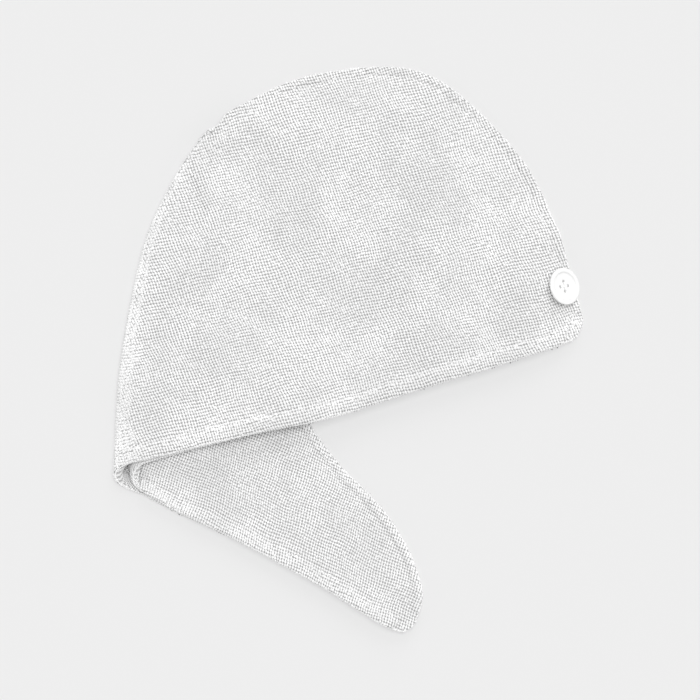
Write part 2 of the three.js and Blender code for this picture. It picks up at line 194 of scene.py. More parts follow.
def plain(label, description, default, **options):
    return FloatProperty(name=label, description=description, default=default, **options)


def length(label, description, default):
    return plain(label, description, default, min=0, subtype="DISTANCE", unit="LENGTH", precision=4)


def angle(label, description, degrees):
    return plain(label, description, math.radians(degrees), subtype="ANGLE", unit="ROTATION")


def share_of(label, description, default):
    return plain(label, description, default, min=0, max=1, subtype="FACTOR")


def colour(label, description, default):
    return FloatVectorProperty(name=label, description=description, default=default, size=3, min=0, max=1,
                               subtype="COLOR")


class TURBAN_PG_shape(bpy.types.PropertyGroup):
    """Sizes of the hood, the tail and the room between their layers."""

    hood_length: length("Hood length", "Mouth, from the fold corner to the nape corner", 0.362)
    crown_height: length("Crown height", "From the mouth to the top of the crown", 0.245)
    mouth_slope: angle("Mouth slope", "Rise of the mouth towards the nape", 16.3)
    tail_length: length("Tail length", "From the fold corner to the tip", 0.246)
    tail_width: length("Tail width", "Across the tail where it leaves the hood", 0.102)
    tail_slope: angle("Tail slope", "Fall of the tail's hem towards the tip", 29)
    middle_x: length("Middle, along", "From the fold corner to the middle of the outline", 0.17379)
    middle_y: length("Middle, across", "From the fold corner to the middle of the outline", 0.09232)
    layer_gap: length("Layer gap", "Between the panels where they are sewn together", 0.0007)
    rest_gap: length("Rest gap", "Between the hood and the tail under it", 0.0004)
    fold_gap: length("Fold gap", "Between the hood and the tail inside the fold", 0.003)
    hood_hollow: length("Hood hollow", "Room between the panels of the hood", 0.0115)
    mouth_hollow: length("Mouth hollow", "Room between the panels at the mouth", 0.008)
    tail_hollow: length("Tail hollow", "Room between the panels of the tail", 0.0022)
    hollow_rise: length("Hollow rise", "Distance over which the hollow opens from a seam", 0.025)
    fold_rise: length("Fold rise", "Distance over which the hollow opens from the fold", 0.08)
    tail_rest: length("Tail rest", "Ledge of the hood beside the tail's edge", 0.006)
    tail_drop: length("Tail drop", "Width over which the hood comes down beside the tail", 0.03)
    fold_lean: angle("Fold lean", "Direction of the fold at the hem", 85)
    fold_lean_top: angle("Fold lean at the top", "Direction of the fold at the seam", 73)
    fold_spread: share_of("Fold spread", "How much flatter than round the fold lies at the hem", 0.8)
    hem_shift: length("Hem shift", "How far the hem runs down the fold as it turns round it", 0.026)
    hem_tuck: length("Hem tuck", "How far the inner hem lies inside the outer one at the fold", 0.0025)
    hem_tuck_run: length("Hem tuck run", "Distance from the fold over which the tuck fades", 0.045)
    seam_shift: length("Seam shift", "How far the seam runs down the fold as it turns round it", 0.035)
    loop_length: length("Elastic length", "Length of the elastic loop", 0.046)
    loop_width: length("Elastic width", "Width of the elastic loop", 0.016)
    loop_thickness: length("Elastic thickness", "Thickness of the elastic loop", 0.0014)
    loop_inset: length("Elastic inset", "From the tip to the sewn end of the loop", 0.012)
    loop_clear: length("Elastic clearance", "Width over which the tail comes down beside the loop", 0.014)
    piece_gap: length("Piece gap", "Between pieces that touch", 0.0003)


class TURBAN_PG_terry(bpy.types.PropertyGroup):
    """Thickness, edges, pile and colours of the terry cloth."""

    thickness: length("Cloth thickness", "One panel with its pile", 0.0024)
    hem_thickness: length("Hem thickness", "Two plies", 0.0046)
    hem_width: length("Hem width", "Turned hem of the mouth and of the tail", 0.012)
    rim_thickness: length("Rim thickness", "Each panel with its half of the seam allowance", 0.0032)
    rim_width: length("Rim width", "Rim of the crown and of the tail", 0.006)
    pile: length("Pile height", "Height of the loops over the ground weave", 0.0007)
    hood_pitch: length("Hood rib pitch", "Between neighbouring ribs of the hood", 0.002005)
    hood_step: length("Hood loop step", "Between neighbouring loops of a rib", 0.002225)
    hood_turn: angle("Hood rib turn", "Direction across the ribs of the hood", 21.5)
    hood_skew: angle("Hood loop turn", "Direction along which the loops step", -76.6)
    tail_pitch: length("Tail rib pitch", "Between neighbouring ribs of the tail", 0.00193)
    tail_step: length("Tail loop step", "Between neighbouring loops of a rib", 0.002167)
    tail_turn: angle("Tail rib turn", "Direction across the ribs of the tail", -15.2)
    tail_skew: angle("Tail loop turn", "Direction along which the loops step", -114)
    loop_across: share_of("Loop width", "Half width of a loop as a share of the pitch", 0.48)
    loop_along: share_of("Loop length", "Half length of a loop as a share of the step", 0.56)
    unevenness: length("Unevenness", "Spread of the loops about their rows", 0.00014)
    missing: share_of("Missing loops", "Share of the loops that lie flat in the ground", 0.006)
    size_spread: share_of("Size spread", "Difference in size between loops", 0.1)
    swell: share_of("Swell", "How much loops run together, along the ribs here and across them there", 0.4)
    ridge_fullness: share_of("Ridge fullness", "How much fuller the pile is on the hem's inner ridge", 0.2)
    rim_fullness: share_of("Rim fullness", "How much fuller the pile is beside the rim", 0.14)
    fold_fullness: share_of("Fold fullness", "How much fuller the pile is over the fold", 0.17)
    seam_pressing: share_of("Seam pressing", "How much smaller loops are beside the tail's rim", 0.8)
    edge_fullness: share_of("Edge fullness", "How much fuller the pile is on the tail's hem and rim", 0.16)
    tail_fullness: share_of("Tail fullness", "Size of the tail's loops against the hood's", 0.94)
    lean_spread: angle("Lean spread", "Lean of the loops", 13)
    seed: IntProperty(name="Seed", description="Seed of the loops' small differences", default=7, min=0)
    colour: colour("Pile colour", "Colour of the loops", (0.96, 0.96, 0.96))
    # Painted shade: the pit colour is the grey painted in the pits between the loops and at their feet, where
    # shade falls
    pit_colour: colour("Pit colour", "Colour between the loops", (0.3, 0.3, 0.3))


class TURBAN_PG_button(bpy.types.PropertyGroup):
    """Sizes and finish of the button and its thread."""

    diameter: length("Diameter", "Across the button", 0.028)
    thickness: length("Thickness", "From the flat back to the rim", 0.0036)
    edge: length("Edge", "Height of the outer edge", 0.002)
    back: length("Back", "Diameter of the flat back", 0.012)
    well_diameter: length("Well diameter", "Across the sunk middle", 0.021)
    well_depth: length("Well depth", "Depth of the sunk middle", 0.0012)
    hole_diameter: length("Hole diameter", "Across each of the four holes", 0.0022)
    hole_circle: length("Hole circle", "Diameter of the circle of holes", 0.0074)
    hole_turn: angle("Hole turn", "Turn of the holes", 9)
    tilt: angle("Tilt", "Tilt of the button from level", 38)
    lean: angle("Lean", "Direction in which the button leans down", 14)
    thread_diameter: length("Thread diameter", "Sewing thread in the holes", 0.0011)
    roughness: share_of("Roughness", "Roughness of the polished plastic", 0.16)
    colour: colour("Button colour", "Colour of the plastic", (0.86, 0.86, 0.857))
    thread_colour: colour("Thread colour", "Colour of the sewing thread", (0.95, 0.95, 0.95))


class TURBAN_PG_stage(bpy.types.PropertyGroup):
    """Camera, floor and light."""

    camera_height: length("Camera height", "Height of the camera over the floor", 3.0)
    field: length("Field", "Width of the floor that the picture shows", 0.525)
    sensor: plain("Sensor", "Sensor width of the camera in millimetres", 36)
    aim_x: plain("Aim along", "Centre of the picture", 0.00096, subtype="DISTANCE", unit="LENGTH",
                 precision=5)
    aim_y: plain("Aim across", "Centre of the picture", -0.00007, subtype="DISTANCE", unit="LENGTH",
                 precision=5)
    floor_size: length("Floor size", "Width of the floor", 9.0)
    floor_colour: colour("Floor colour", "Colour of the floor", (0.336, 0.336, 0.336))
    floor_glow: plain("Floor glow", "Light of the pale light table itself", 0.45)
    sky_strength: plain("Sky strength", "Even light from all round", 0.33)
    key_strength: plain("Key strength", "Strength of the overhead key", 1.9)
    key_softness: angle("Key softness", "Apparent width of the key light", 30)
    key_height: angle("Key height", "Height of the key light over the floor", 80)
    key_side: angle("Key side", "Direction from which the key light comes", 62)
    back_strength: plain("Back strength", "Strength of the light behind the crown", 0.83)
    back_softness: angle("Back softness", "Apparent width of the light behind the crown", 40)
    back_height: angle("Back height", "Height of the light behind the crown", 32)
    back_side: angle("Back side", "Direction from which it comes", 80)
    fill_strength: plain("Fill strength", "Strength of each of the three low fills", 0.45)
    fill_softness: angle("Fill softness", "Apparent width of the fills", 60)
    fill_height: angle("Fill height", "Height of the fills over the floor", 20)


# The plan, and the heights of the four cloth faces

HEM_AT = (0.0, 0.06, 0.16, 0.34, 0.7, 0.84, 0.93, 1.0, 1.07, 1.2, 1.45)
HEM_THICK = (0.86, 0.93, 0.98, 1.0, 1.0, 0.94, 0.8, 0.58, 0.58, 0.6, 0.522)
RIM_AT = (0.0, 0.2, 0.45, 0.68, 0.86, 1.0, 1.15, 1.5)
RIM_THICK = (0.8, 0.95, 1.0, 0.97, 0.86, 0.72, 0.72, 0.75)
HEM_ROWS = (0, 0.25, 0.7, 1.3, 2.1, 3.2, 4.6, 6.2, 8, 9.4, 10.6, 11.4, 12, 12.7, 13.8, 15.4, 17.4)
RIM_ROWS = (0, 0.2, 0.5, 0.9, 1.5, 2.3, 3.3, 4.4, 5.3, 6, 6.8, 7.9, 9)
FACES = ("outer_face", "outer_back", "inner_back", "inner_face")
THINNEST = 0.25 * MM  # half the ground weave at its thinnest
EASE_PITCH, EASE_SPREAD, EASE_REACH = 3 * MM, 4.0, 12  # raster of the eased support; the last two in pitches


class Pattern:
    """The towel's plan and the heights of its cloth faces."""

    def __init__(self, shape, terry):
        self.shape, self.terry = shape, terry
        self.fold = Line(self.hood_points(FOLD))
        self.nape = Line(self.hood_points(NAPE))
        self.crown = Line(np.vstack([self.hood_points(CROWN), self.hood_start(1.0)]))
        self.mouth = Line(np.vstack([self.hood_points(MOUTH), self.hood_start(0.0)]))
        self.tail_seam = Line(np.vstack([self.tail_start(1.0), self.tail_points(TAIL_SEAM)]))
        self.tail_hem = Line(np.vstack([self.tail_start(0.0), self.tail_points(TAIL_HEM)]))
        self.tip = Line(self.tail_points(TIP))
        shares = np.linspace(0, 1, 25)
        self.fold_line = self.fold_start(shares, 0)
        start_line = self.hood_start(shares)
        self.hood_seam_line = np.vstack([self.nape.sampled(), self.crown.sampled()])
        self.mouth_line = self.mouth.sampled()
        self.tail_seam_line = np.vstack([self.tail_seam.sampled(), self.tip.sampled()[::-1]])
        self.tail_hem_line = self.tail_hem.sampled()
        self.hood_outline = np.vstack([
            self.mouth_line, start_line, self.crown.sampled()[::-1], self.nape.sampled()[::-1],
        ])
        self.tail_outline = np.vstack([
            self.tail_hem_line, self.tip.sampled(), self.tail_seam.sampled()[::-1], start_line[::-1],
        ])
        axis = direction(-math.degrees(shape.tail_slope) - 8)
        self.loop_axis = axis
        self.loop_middle = self.tip.at(0.35) - axis * (shape.loop_inset + shape.loop_length / 2)

    def hood_points(self, table):
        return self.placed(table, self.shape.hood_length, self.shape.crown_height, self.shape.mouth_slope)

    def tail_points(self, table):
        return self.placed(table, self.shape.tail_length, self.shape.tail_width, -self.shape.tail_slope)

    @staticmethod
    def placed(table, along, across, slope):
        shares = np.asarray([row[:2] for row in table], float)
        ahead = direction(math.degrees(slope))
        return shares[:, :1] * along * ahead + shares[:, 1:] * across * left_of(ahead)

    def fold_ahead(self, share):
        lean, top = (math.degrees(turn) for turn in (self.shape.fold_lean, self.shape.fold_lean_top))
        return direction(lerp(lean, top, np.asarray(share, float)))

    def fold_reach(self, share):
        """Half the height of the folded stack, thicker at the hem and at the seam."""
        shape, terry = self.shape, self.terry
        run = np.asarray(share, float) * self.fold.length
        hem = 1 - smooth((run - terry.hem_width / 2) / (2 * terry.hem_width))
        rim = 1 - smooth((self.fold.length - run) / (4 * terry.rim_width))
        extra = (terry.hem_thickness - terry.thickness) * hem + (terry.rim_thickness - terry.thickness) * rim
        return 2 * (terry.thickness + extra) + shape.layer_gap + shape.fold_gap / 2

    def fold_run(self, share):
        """How far from the fold's edge the cloth starts to bend: farthest at the hem, where it lies open."""
        away = np.asarray(share, float) * self.fold.length
        return self.fold_reach(share) * (1.1 + self.shape.fold_spread * np.exp(-away / self.shape.fold_rise))

    def fold_start(self, share, side):
        ahead = self.fold_ahead(share)
        shift = lerp(self.shape.hem_shift, self.shape.seam_shift, np.asarray(share, float)) / 2
        reach = np.asarray(self.fold_run(share))[..., None]
        return self.fold.at(share) - left_of(ahead) * reach + ahead * side * shift[..., None]

    def hood_start(self, share):
        return self.fold_start(share, 1)

    def tail_start(self, share):
        return self.fold_start(share, -1)

    @staticmethod
    def patch(lower, upper, first, last, a, b):
        """A patch spanned by four lines, with a along the hem and b from the hem to the seam."""
        a, b = a[..., None], b[..., None]
        zero, one = np.zeros(1), np.ones(1)
        point = lower(a[..., 0]) * (1 - b) + upper(a[..., 0]) * b
        point = point + first(b[..., 0]) * (1 - a) + last(b[..., 0]) * a
        point = point - lower(zero) * (1 - a) * (1 - b) - lower(one) * a * (1 - b)
        return point - upper(zero) * (1 - a) * b - upper(one) * a * b

    def tucked(self, plan, hem_line, side):
        """The inner panel's plan: near the fold its hem lies a little inside the outer panel's."""
        corner = self.fold_start(np.zeros(1), -side)[0]
        fade = np.exp(-np.linalg.norm(plan - corner, axis=-1) / self.shape.hem_tuck_run)
        near = np.exp(-distance_to(hem_line, plan) / self.terry.hem_width)
        return plan + (side * self.shape.hem_tuck * fade * near)[..., None] * self.fold_ahead(0.0)

    def hood_plan(self, a, b):
        return self.patch(self.mouth.at, self.crown.at, self.nape.at, self.hood_start, a, b)

    def tail_plan(self, a, b):
        return self.patch(self.tail_hem.at, self.tail_seam.at, self.tail_start, self.tip.at, a, b)

    def thickness_at(self, from_hem, from_seam):
        """Thickness of one panel, and how much of it the rounded edge leaves."""
        terry = self.terry
        hem = terry.hem_thickness * np.interp(from_hem / terry.hem_width, HEM_AT, HEM_THICK)
        rim = terry.rim_thickness * np.interp(from_seam / terry.rim_width, RIM_AT, RIM_THICK)
        both = np.minimum(hem, np.maximum(rim, terry.thickness * 1.3))
        past_hem = from_hem > terry.hem_width * HEM_AT[-1]
        thick = np.where(past_hem, rim, both)
        thick = np.where((from_seam > terry.rim_width * RIM_AT[-1]) & ~past_hem, hem, thick)
        rounded = 1.0
        for away, radius in ((from_hem, terry.hem_thickness / 2), (from_seam, terry.rim_thickness / 2)):
            rounded = rounded * np.sqrt(np.maximum(1 - (1 - np.clip(away / radius, 0, 1)) ** 2, 0))
        return thick, rounded

    def half_body(self, thick, rounded):
        """Half the thickness of the ground weave, without the pile."""
        return np.maximum((thick / 2 - self.terry.pile) * rounded, THINNEST)

    def face_levels(self, names, under, over, thick, rounded):
        """Heights of the four faces of two panels, from the lowest face up."""
        half = self.half_body(thick, rounded)
        low, high = under + thick / 2, over + thick / 2
        return dict(zip(names, (low - half, low + half, high - half, high + half)))

    def opening(self, from_seam):
        return 1 - np.exp(-np.maximum(0, from_seam - self.terry.rim_width) / self.shape.hollow_rise)

    def loop_lift(self, points):
        shape = self.shape
        offset = points - self.loop_middle
        ahead = np.abs(offset @ self.loop_axis) - shape.loop_length / 2
        across = np.abs(offset @ left_of(self.loop_axis)) - shape.loop_width / 2
        away = np.hypot(np.maximum(0, ahead), np.maximum(0, across))
        rise = shape.loop_thickness + 2 * shape.piece_gap
        return rise * (1 - smooth((away - self.terry.rim_width) / shape.loop_clear))

    def tail_stack(self, points):
        """Floor level, panel thickness, rounding and room between the panels of the tail."""
        from_seam = distance_to(self.tail_seam_line, points)
        thick, rounded = self.thickness_at(distance_to(self.tail_hem_line, points), from_seam)
        away = distance_to(self.fold_line, points)
        room = self.shape.tail_hollow * self.opening(from_seam) * smooth(away / self.shape.fold_rise)
        return self.loop_lift(points), thick, rounded, room

    def tail_levels(self, points):
        under, thick, rounded, room = self.tail_stack(points)
        room = room + np.maximum(self.waves(points) * 0.5, -0.6) * room / self.shape.tail_hollow
        return self.face_levels(FACES, under, under + thick + self.shape.layer_gap + room, thick, rounded)

    def support_level(self, points):
        """What the hood lies on: the tail, then the floor."""
        shape = self.shape
        reach = distance_to(self.tail_outline, points)
        reach = np.where(is_inside(self.tail_outline, points), 0, reach)
        top = np.zeros(points.shape[:-1])
        near = reach <= shape.tail_rest + shape.tail_drop
        for turn in range(0, 360, 60):
            moved = points[near] + direction(turn) * self.terry.rim_width / 2
            under, thick, _, room = self.tail_stack(moved)
            top[near] = np.maximum(top[near], under + 2 * thick + shape.layer_gap + room * 1.25)
        top = top + shape.rest_gap
        near_fold = np.exp(-distance_to(self.fold_line, points) / (self.terry.hem_width * 1.5))
        level = top + (shape.fold_gap - shape.rest_gap) * near_fold
        return level * near * (1 - smooth((reach - shape.tail_rest) / shape.tail_drop))

    def eased_support(self, points):
        """The same, as the stiffer upper panel feels it: blurred, so that the tail's rim doesn't show."""
        margin = (EASE_REACH - 2) * EASE_PITCH
        low = self.hood_outline.min(axis=0) - margin
        count = np.ceil((self.hood_outline.max(axis=0) + margin - low) / EASE_PITCH).astype(int) + 1
        lines = [low[k] + EASE_PITCH * np.arange(count[k]) for k in (0, 1)]
        level = self.support_level(np.stack(np.meshgrid(*lines, indexing="ij"), axis=-1))
        reach = np.arange(-EASE_REACH, EASE_REACH + 1)
        weight = np.exp(-(reach / EASE_SPREAD) ** 2 / 2)
        weight /= weight.sum()
        for axis in (0, 1):
            border = [(EASE_REACH, EASE_REACH) if k == axis else (0, 0) for k in (0, 1)]
            padded = np.pad(level, border, mode="edge")
            moved = (np.take(padded, np.arange(count[axis]) + k, axis=axis) for k in range(len(weight)))
            level = sum(share * part for share, part in zip(weight, moved))
        place = (points - low) / EASE_PITCH
        cell = np.clip(place.astype(int), 0, count - 2)
        i, j = cell[..., 0], cell[..., 1]
        x, y = (place - cell)[..., 0], (place - cell)[..., 1]
        return (level[i, j] * (1 - x) * (1 - y) + level[i + 1, j] * x * (1 - y)
                + level[i, j + 1] * (1 - x) * y + level[i + 1, j + 1] * x * y)

    def ridges(self, points, table):
        total = np.zeros(points.shape[:-1])
        for along, up, run, width, turn, lift in table:
            offset = points - self.hood_points([(along, up)])[0]
            ahead = offset @ direction(turn) / (run * self.shape.hood_length)
            across = offset @ left_of(direction(turn)) / (width * self.shape.hood_length)
            total += lift * np.exp(-ahead ** 2 - across ** 2)
        return total

    @staticmethod
    def waves(points):
        total = np.zeros(points.shape[:-1])
        for long, turn, phase, height in WAVES:
            total += height * MM * np.sin(2 * np.pi * points @ direction(turn) / (long * MM) + phase)
        return total

    def hood_levels(self, points):
        shape = self.shape
        from_hem = distance_to(self.mouth_line, points)
        from_seam = distance_to(self.hood_seam_line, points)
        thick, rounded = self.thickness_at(from_hem, from_seam)
        room = lerp(shape.mouth_hollow, shape.hood_hollow, 1 - np.exp(-from_hem / shape.hollow_rise / 2))
        opening = self.opening(from_seam) * smooth(distance_to(self.fold_line, points) / shape.fold_rise)
        under = self.support_level(points)
        ease = smooth(from_seam / (2 * self.terry.rim_width)) * smooth(from_hem / self.terry.hem_width)
        crease = self.ridges(points, CREASES) * MM * ease
        wave = self.waves(points) * (0.25 + 0.75 * opening) * ease
        base = thick + shape.layer_gap + room * opening * (1 + self.ridges(points, SOFT_FOLDS))
        eased = lerp(under, self.eased_support(points), opening)
        over = np.maximum(eased + base + crease + wave, under + thick + shape.layer_gap)
        return self.face_levels(FACES[::-1], under, over, thick, rounded)


# Rows and columns of the cloth, and how the layers crowd together round the fold
BODY_ROWS = 62
HOOD_COLUMNS = 112
TAIL_COLUMNS = 78
FOLD_COLUMNS = 20
LAYER_CROWDING = 0.75
LEAST_RADIUS = 0.4 * MM

# Loops and stitches
NARROWING = 0.35  # how much narrower loops get where they run together
FULLEST = 1.4  # largest size of a loop against the even size
STEEPEST = 0.5  # upward part of the normal, under which no loop is set
DROP = 0.2  # height from which loop places are dropped onto the cloth
EDGE_INSET = 0.25 * MM  # how far the loops of an edge are sunk into it
EDGE_HALF = 1.2 * MM  # from the middle of a panel's edge to the loops beside it
EDGE_RUN = (-0.25, 0.45)  # how the loops of an edge run together, on the flat and round the fold
HEM_TURNS = (-55, 0, 55)  # in degrees, one for each row of loops along the hem
BESIDE = 6  # columns or rows in from an edge, past its rounding
UNDER_HOOD, UNDER_TAIL = 12 * MM, 6 * MM  # how far loops go on under the hood and over the tail
HOOD_SPLIT = 0.475  # share of the hood's length at which its loops are split into two pieces
COARSE = {"Sides": 4, "Rings": 2}  # loops of the undersides
HEM_SEAM, RIM_SEAM = 12, 6  # rows of the stitches, in millimetres from the hem's and the rim's edge
FIRST_STITCH, STITCH_STEP = 1.5 * MM, 3.2 * MM
STITCH = {
    "Width": 0.2 * MM, "Length": 0.95 * MM, "Height": 0.2 * MM, "Sides": 8, "Rings": 5,
    "Size spread": 0.04, "Lean spread": 0.05,
}
FOLD_LOOP_ROWS = np.linspace(0.3, 0.7, 7)  # shares of the way round the fold
FOLD_LOOP_SWELL = (0.95, 1.4, 1.0)  # width, length and height against the even size
SIZE_SEED, TONE_SEED = 11.0, 23.0  # set the random sizes and tones of the loops apart from their lean


def column_shares(count, run, rim_first):
    rim = np.array(RIM_ROWS) * MM / run
    shares = np.concatenate([rim[:-1], np.linspace(rim[-1], 1, count + 1)])
    return shares if rim_first else (1 - shares)[::-1]


def raised_grid(plan, levels, shares):
    """Rows, plan and heights of the four faces, one column for each share along the hem."""
    runs = np.linalg.norm(plan(shares, np.ones_like(shares)) - plan(shares, np.zeros_like(shares)), axis=1)
    hem, rim = np.array(HEM_ROWS) * MM, np.array(RIM_ROWS)[::-1] * MM
    rows = []
    for run in runs:
        body = np.linspace(hem[-1] / run, 1 - rim[0] / run, BODY_ROWS + 1)[1:-1]
        rows.append(np.concatenate([hem / run, body, 1 - rim / run]))
    rows = np.array(rows)
    points = plan(np.repeat(shares[:, None], rows.shape[1], axis=1), rows)
    return rows, points, levels(points)


def cloth_grid(pattern):
    """The four faces from the nape, over the hood, round the fold and down to the tip of the tail; the flat
    cloth under them, and the first columns of the fold and of the tail."""
    hood_shares = column_shares(HOOD_COLUMNS, pattern.mouth.length, True)
    tail_shares = column_shares(TAIL_COLUMNS, pattern.tail_hem.length, False)
    hood_rows, hood, hood_heights = raised_grid(pattern.hood_plan, pattern.hood_levels, hood_shares)
    tail_rows, tail, tail_heights = raised_grid(pattern.tail_plan, pattern.tail_levels, tail_shares)
    share = (hood_rows[-1] + tail_rows[0]) / 2
    outward = left_of(pattern.fold_ahead(share))
    reach = pattern.fold_run(share)
    turns = np.pi * np.arange(1, FOLD_COLUMNS) / FOLD_COLUMNS
    full = (hood_heights["outer_face"][-1] - tail_heights["outer_face"][0]) / 2
    tucked = (pattern.tucked(hood, pattern.mouth_line, -1), pattern.tucked(tail, pattern.tail_hem_line, 1))
    grid = {}
    for name in FACES:
        above, below = tucked if name.startswith("inner") else (hood, tail)
        high, low = hood_heights[name][-1], tail_heights[name][0]
        radius = (high - low) / 2
        out = reach * (np.maximum(radius, LEAST_RADIUS) / full) ** LAYER_CROWDING
        bend = []
        for turn in turns:
            plan = lerp(above[-1], below[0], lerp(turn / np.pi, (1 - np.cos(turn)) / 2, 0.5))
            plan = plan + outward * (out * np.sin(turn))[:, None]
            bend.append(raised(plan, (high + low) / 2 + radius * np.cos(turn)))
        grid[name] = np.concatenate([
            raised(above, hood_heights[name]), np.array(bend), raised(below, tail_heights[name]),
        ])
    arc = turns[:, None] * reach
    flat = np.concatenate([hood, hood[-1] + outward * arc[..., None], tail])
    return grid, flat, len(hood), len(hood) + len(turns)


def lattice(terry, part):
    """Rows of the matrix that turns a point of the plan into rib and loop numbers of the hood or the tail."""
    pitch, step, turn, skew = (getattr(terry, f"{part}_{key}") for key in ("pitch", "step", "turn", "skew"))
    return np.array([direction(math.degrees(turn)) / pitch, direction(math.degrees(skew)) / step])


def warped(points):
    """Small wander of the ribs, so that no row is quite straight."""
    x, y = points[..., 0] / MM, points[..., 1] / MM
    aside = 0.9 * np.sin(x / 14.0 + 0.9 * np.sin(y / 17.0))
    aside = aside + 0.5 * np.sin(y / 5.1 + x / 23.0 + np.sin(x / 9.0))
    up = 0.8 * np.sin(y / 16.0 + 0.8 * np.sin(x / 21.0))
    up = up + 0.45 * np.sin(x / 6.3 - y / 29.0 + np.sin(y / 11.0))
    return points + np.stack([aside, up], axis=-1) * MM


def runs_together(points):
    """From 1, where loops run together along their ribs, to -1, where they do so across them."""
    x, y = points[..., 0] / MM, points[..., 1] / MM
    wide = np.sin(x / 7.3 + 1.7 * np.sin(y / 9.1)) * np.sin(y / 8.3 + 1.4 * np.sin(x / 12.7 + 1.0))
    small = np.sin(x / 2.9 + 1.9 * np.sin(y / 4.3 + 2.0)) * np.sin(y / 3.3 + 1.6 * np.sin(x / 5.1))
    return np.clip(0.5 + 0.9 * wide + 0.6 * small, -1, 1)


def run_swell(along):
    """Width, length and height of loops that run together along their ribs (1) or across them (-1)."""
    wide = 1 - np.minimum(along, 0) - np.maximum(along, 0) * NARROWING
    long = 1 + np.maximum(along, 0) + np.minimum(along, 0) * NARROWING
    return np.stack([wide, long, np.ones(len(along))], axis=1)


def loop_swell(pattern, terry, points, normals, on_hood):
    """Width, length and height of each loop against the even size: where loops run together, where the cloth
    slopes away, and where the pile stands full."""
    near_fold = bell(distance_to(pattern.fold.sampled(), points), 0.0, terry.hem_width) * on_hood
    along = np.clip(runs_together(points) - 1.1 * near_fold, -1, 1) * terry.swell
    ridge = bell(distance_to(pattern.mouth_line, points) / terry.hem_width, 0.85, 0.3) * on_hood
    rim = bell(distance_to(pattern.hood_seam_line, points) / terry.rim_width, 1.0, 0.3) * on_hood
    full = 1 + terry.ridge_fullness * ridge + terry.rim_fullness * rim + terry.fold_fullness * near_fold
    if not on_hood:
        from_seam = distance_to(pattern.tail_seam_line, points) / terry.rim_width
        from_hem = distance_to(pattern.tail_hem_line, points) / terry.hem_width
        ahead = points @ direction(-math.degrees(pattern.shape.tail_slope)) / pattern.shape.tail_length
        edges = bell(from_seam, 0.4, 0.5) + bell(from_hem, 0.45, 0.4)
        groove = bell(from_seam, 1.1, 0.18) * (0.2 + 0.8 * bell(ahead, 0.84, 0.13))
        line = 0.25 * bell(from_hem, 1.0, 0.09)
        full = full + terry.edge_fullness * np.minimum(edges, 1)
        full = full - terry.seam_pressing * np.maximum(groove, line)
    full = np.minimum(full, FULLEST) / np.sqrt(np.clip(np.abs(normals[:, 2]), STEEPEST, 1))
    return run_swell(along) * np.stack([full, full, np.ones(len(points))], axis=1)


# Meshes

def centred(shape, points):
    return points - np.array([shape.middle_x, shape.middle_y, 0.0])


def add_object(name, mesh):
    piece = bpy.data.objects.new(name, mesh)
    bpy.context.scene.collection.objects.link(piece)
    return piece


def outward_mesh(name, points, faces):
    """A closed mesh whose faces point outwards."""
    mesh = bpy.data.meshes.new(name)
    mesh.from_pydata(points.tolist(), [], faces.tolist() if hasattr(faces, "tolist") else faces)
    mesh.validate()
    shell = bmesh.new()
    shell.from_mesh(mesh)
    if shell.calc_volume(signed=True) < 0:
        bmesh.ops.reverse_faces(shell, faces=shell.faces)
    shell.to_mesh(mesh)
    shell.free()
    mesh.shade_smooth()
    return mesh


def quads_of(number):
    """Four-cornered faces over a grid of point numbers."""
    corners = [number[:-1, :-1], number[:-1, 1:], number[1:, 1:], number[1:, :-1]]
    return np.stack(corners, axis=-1).reshape(-1, 4)


def panel_mesh(name, shape, face, back, flat, weaves, tail_first):
    """One panel as a closed shell between two faces, with its weave coordinates."""
    columns, rows = face.shape[:2]
    size = columns * rows
    number = np.arange(size).reshape(columns, rows)
    quads = [quads_of(number), quads_of(number)[:, ::-1] + size]
    for edge in (number[:, 0], number[::-1, -1], number[0, ::-1], number[-1]):
        quads.append(quads_of(np.stack([edge, edge + size])))
    points = np.concatenate([face.reshape(-1, 3), back.reshape(-1, 3)])
    mesh = outward_mesh(name, centred(shape, points), np.concatenate(quads))
    corner = np.empty(len(mesh.loops), int)
    mesh.loops.foreach_get("vertex_index", corner)
    corner %= size
    start, count = np.empty(len(mesh.polygons), int), np.empty(len(mesh.polygons), int)
    mesh.polygons.foreach_get("loop_start", start)
    mesh.polygons.foreach_get("loop_total", count)
    lowest = np.minimum.reduceat(corner // rows, start)
    on_tail = (np.repeat(lowest, count) >= tail_first).astype(int)
    cells = np.stack([(warped(flat) @ weave.T).reshape(-1, 2) for weave in weaves], axis=1)
    uv = cells[corner, on_tail].astype(np.float32)
    mesh.uv_layers.new(name="weave").data.foreach_set("uv", uv.ravel())
    return mesh


def face_tree(shape, points):
    columns, rows = points.shape[:2]
    quads = quads_of(np.arange(columns * rows).reshape(columns, rows))[:, [0, 3, 2, 1]]
    corners = centred(shape, points.reshape(-1, 3))
    return BVHTree.FromPolygons([Vector(p) for p in corners], quads.tolist())


def lattice_points(weave, outline, terry):
    """Loop places of a weave over an outline of the plan, a little uneven and with some loops left out."""
    corners = outline @ weave.T
    low, high = np.floor(corners.min(axis=0)) - 3, np.ceil(corners.max(axis=0)) + 3
    ribs, loops = np.meshgrid(np.arange(low[0], high[0]), np.arange(low[1], high[1]), indexing="ij")
    cells = np.stack([ribs.ravel(), loops.ravel()], axis=1)
    places = cells @ np.linalg.inv(weave).T
    chance = np.random.default_rng(terry.seed)
    ahead = rib_direction(weave)[:2]
    slips = chance.normal(0, terry.unevenness, (len(places), 2)) * (1.7, 1.0)
    uneven = 2 * places - warped(places) + slips[:, :1] * ahead + slips[:, 1:] * left_of(ahead)
    return uneven[chance.random(len(places)) > terry.missing]


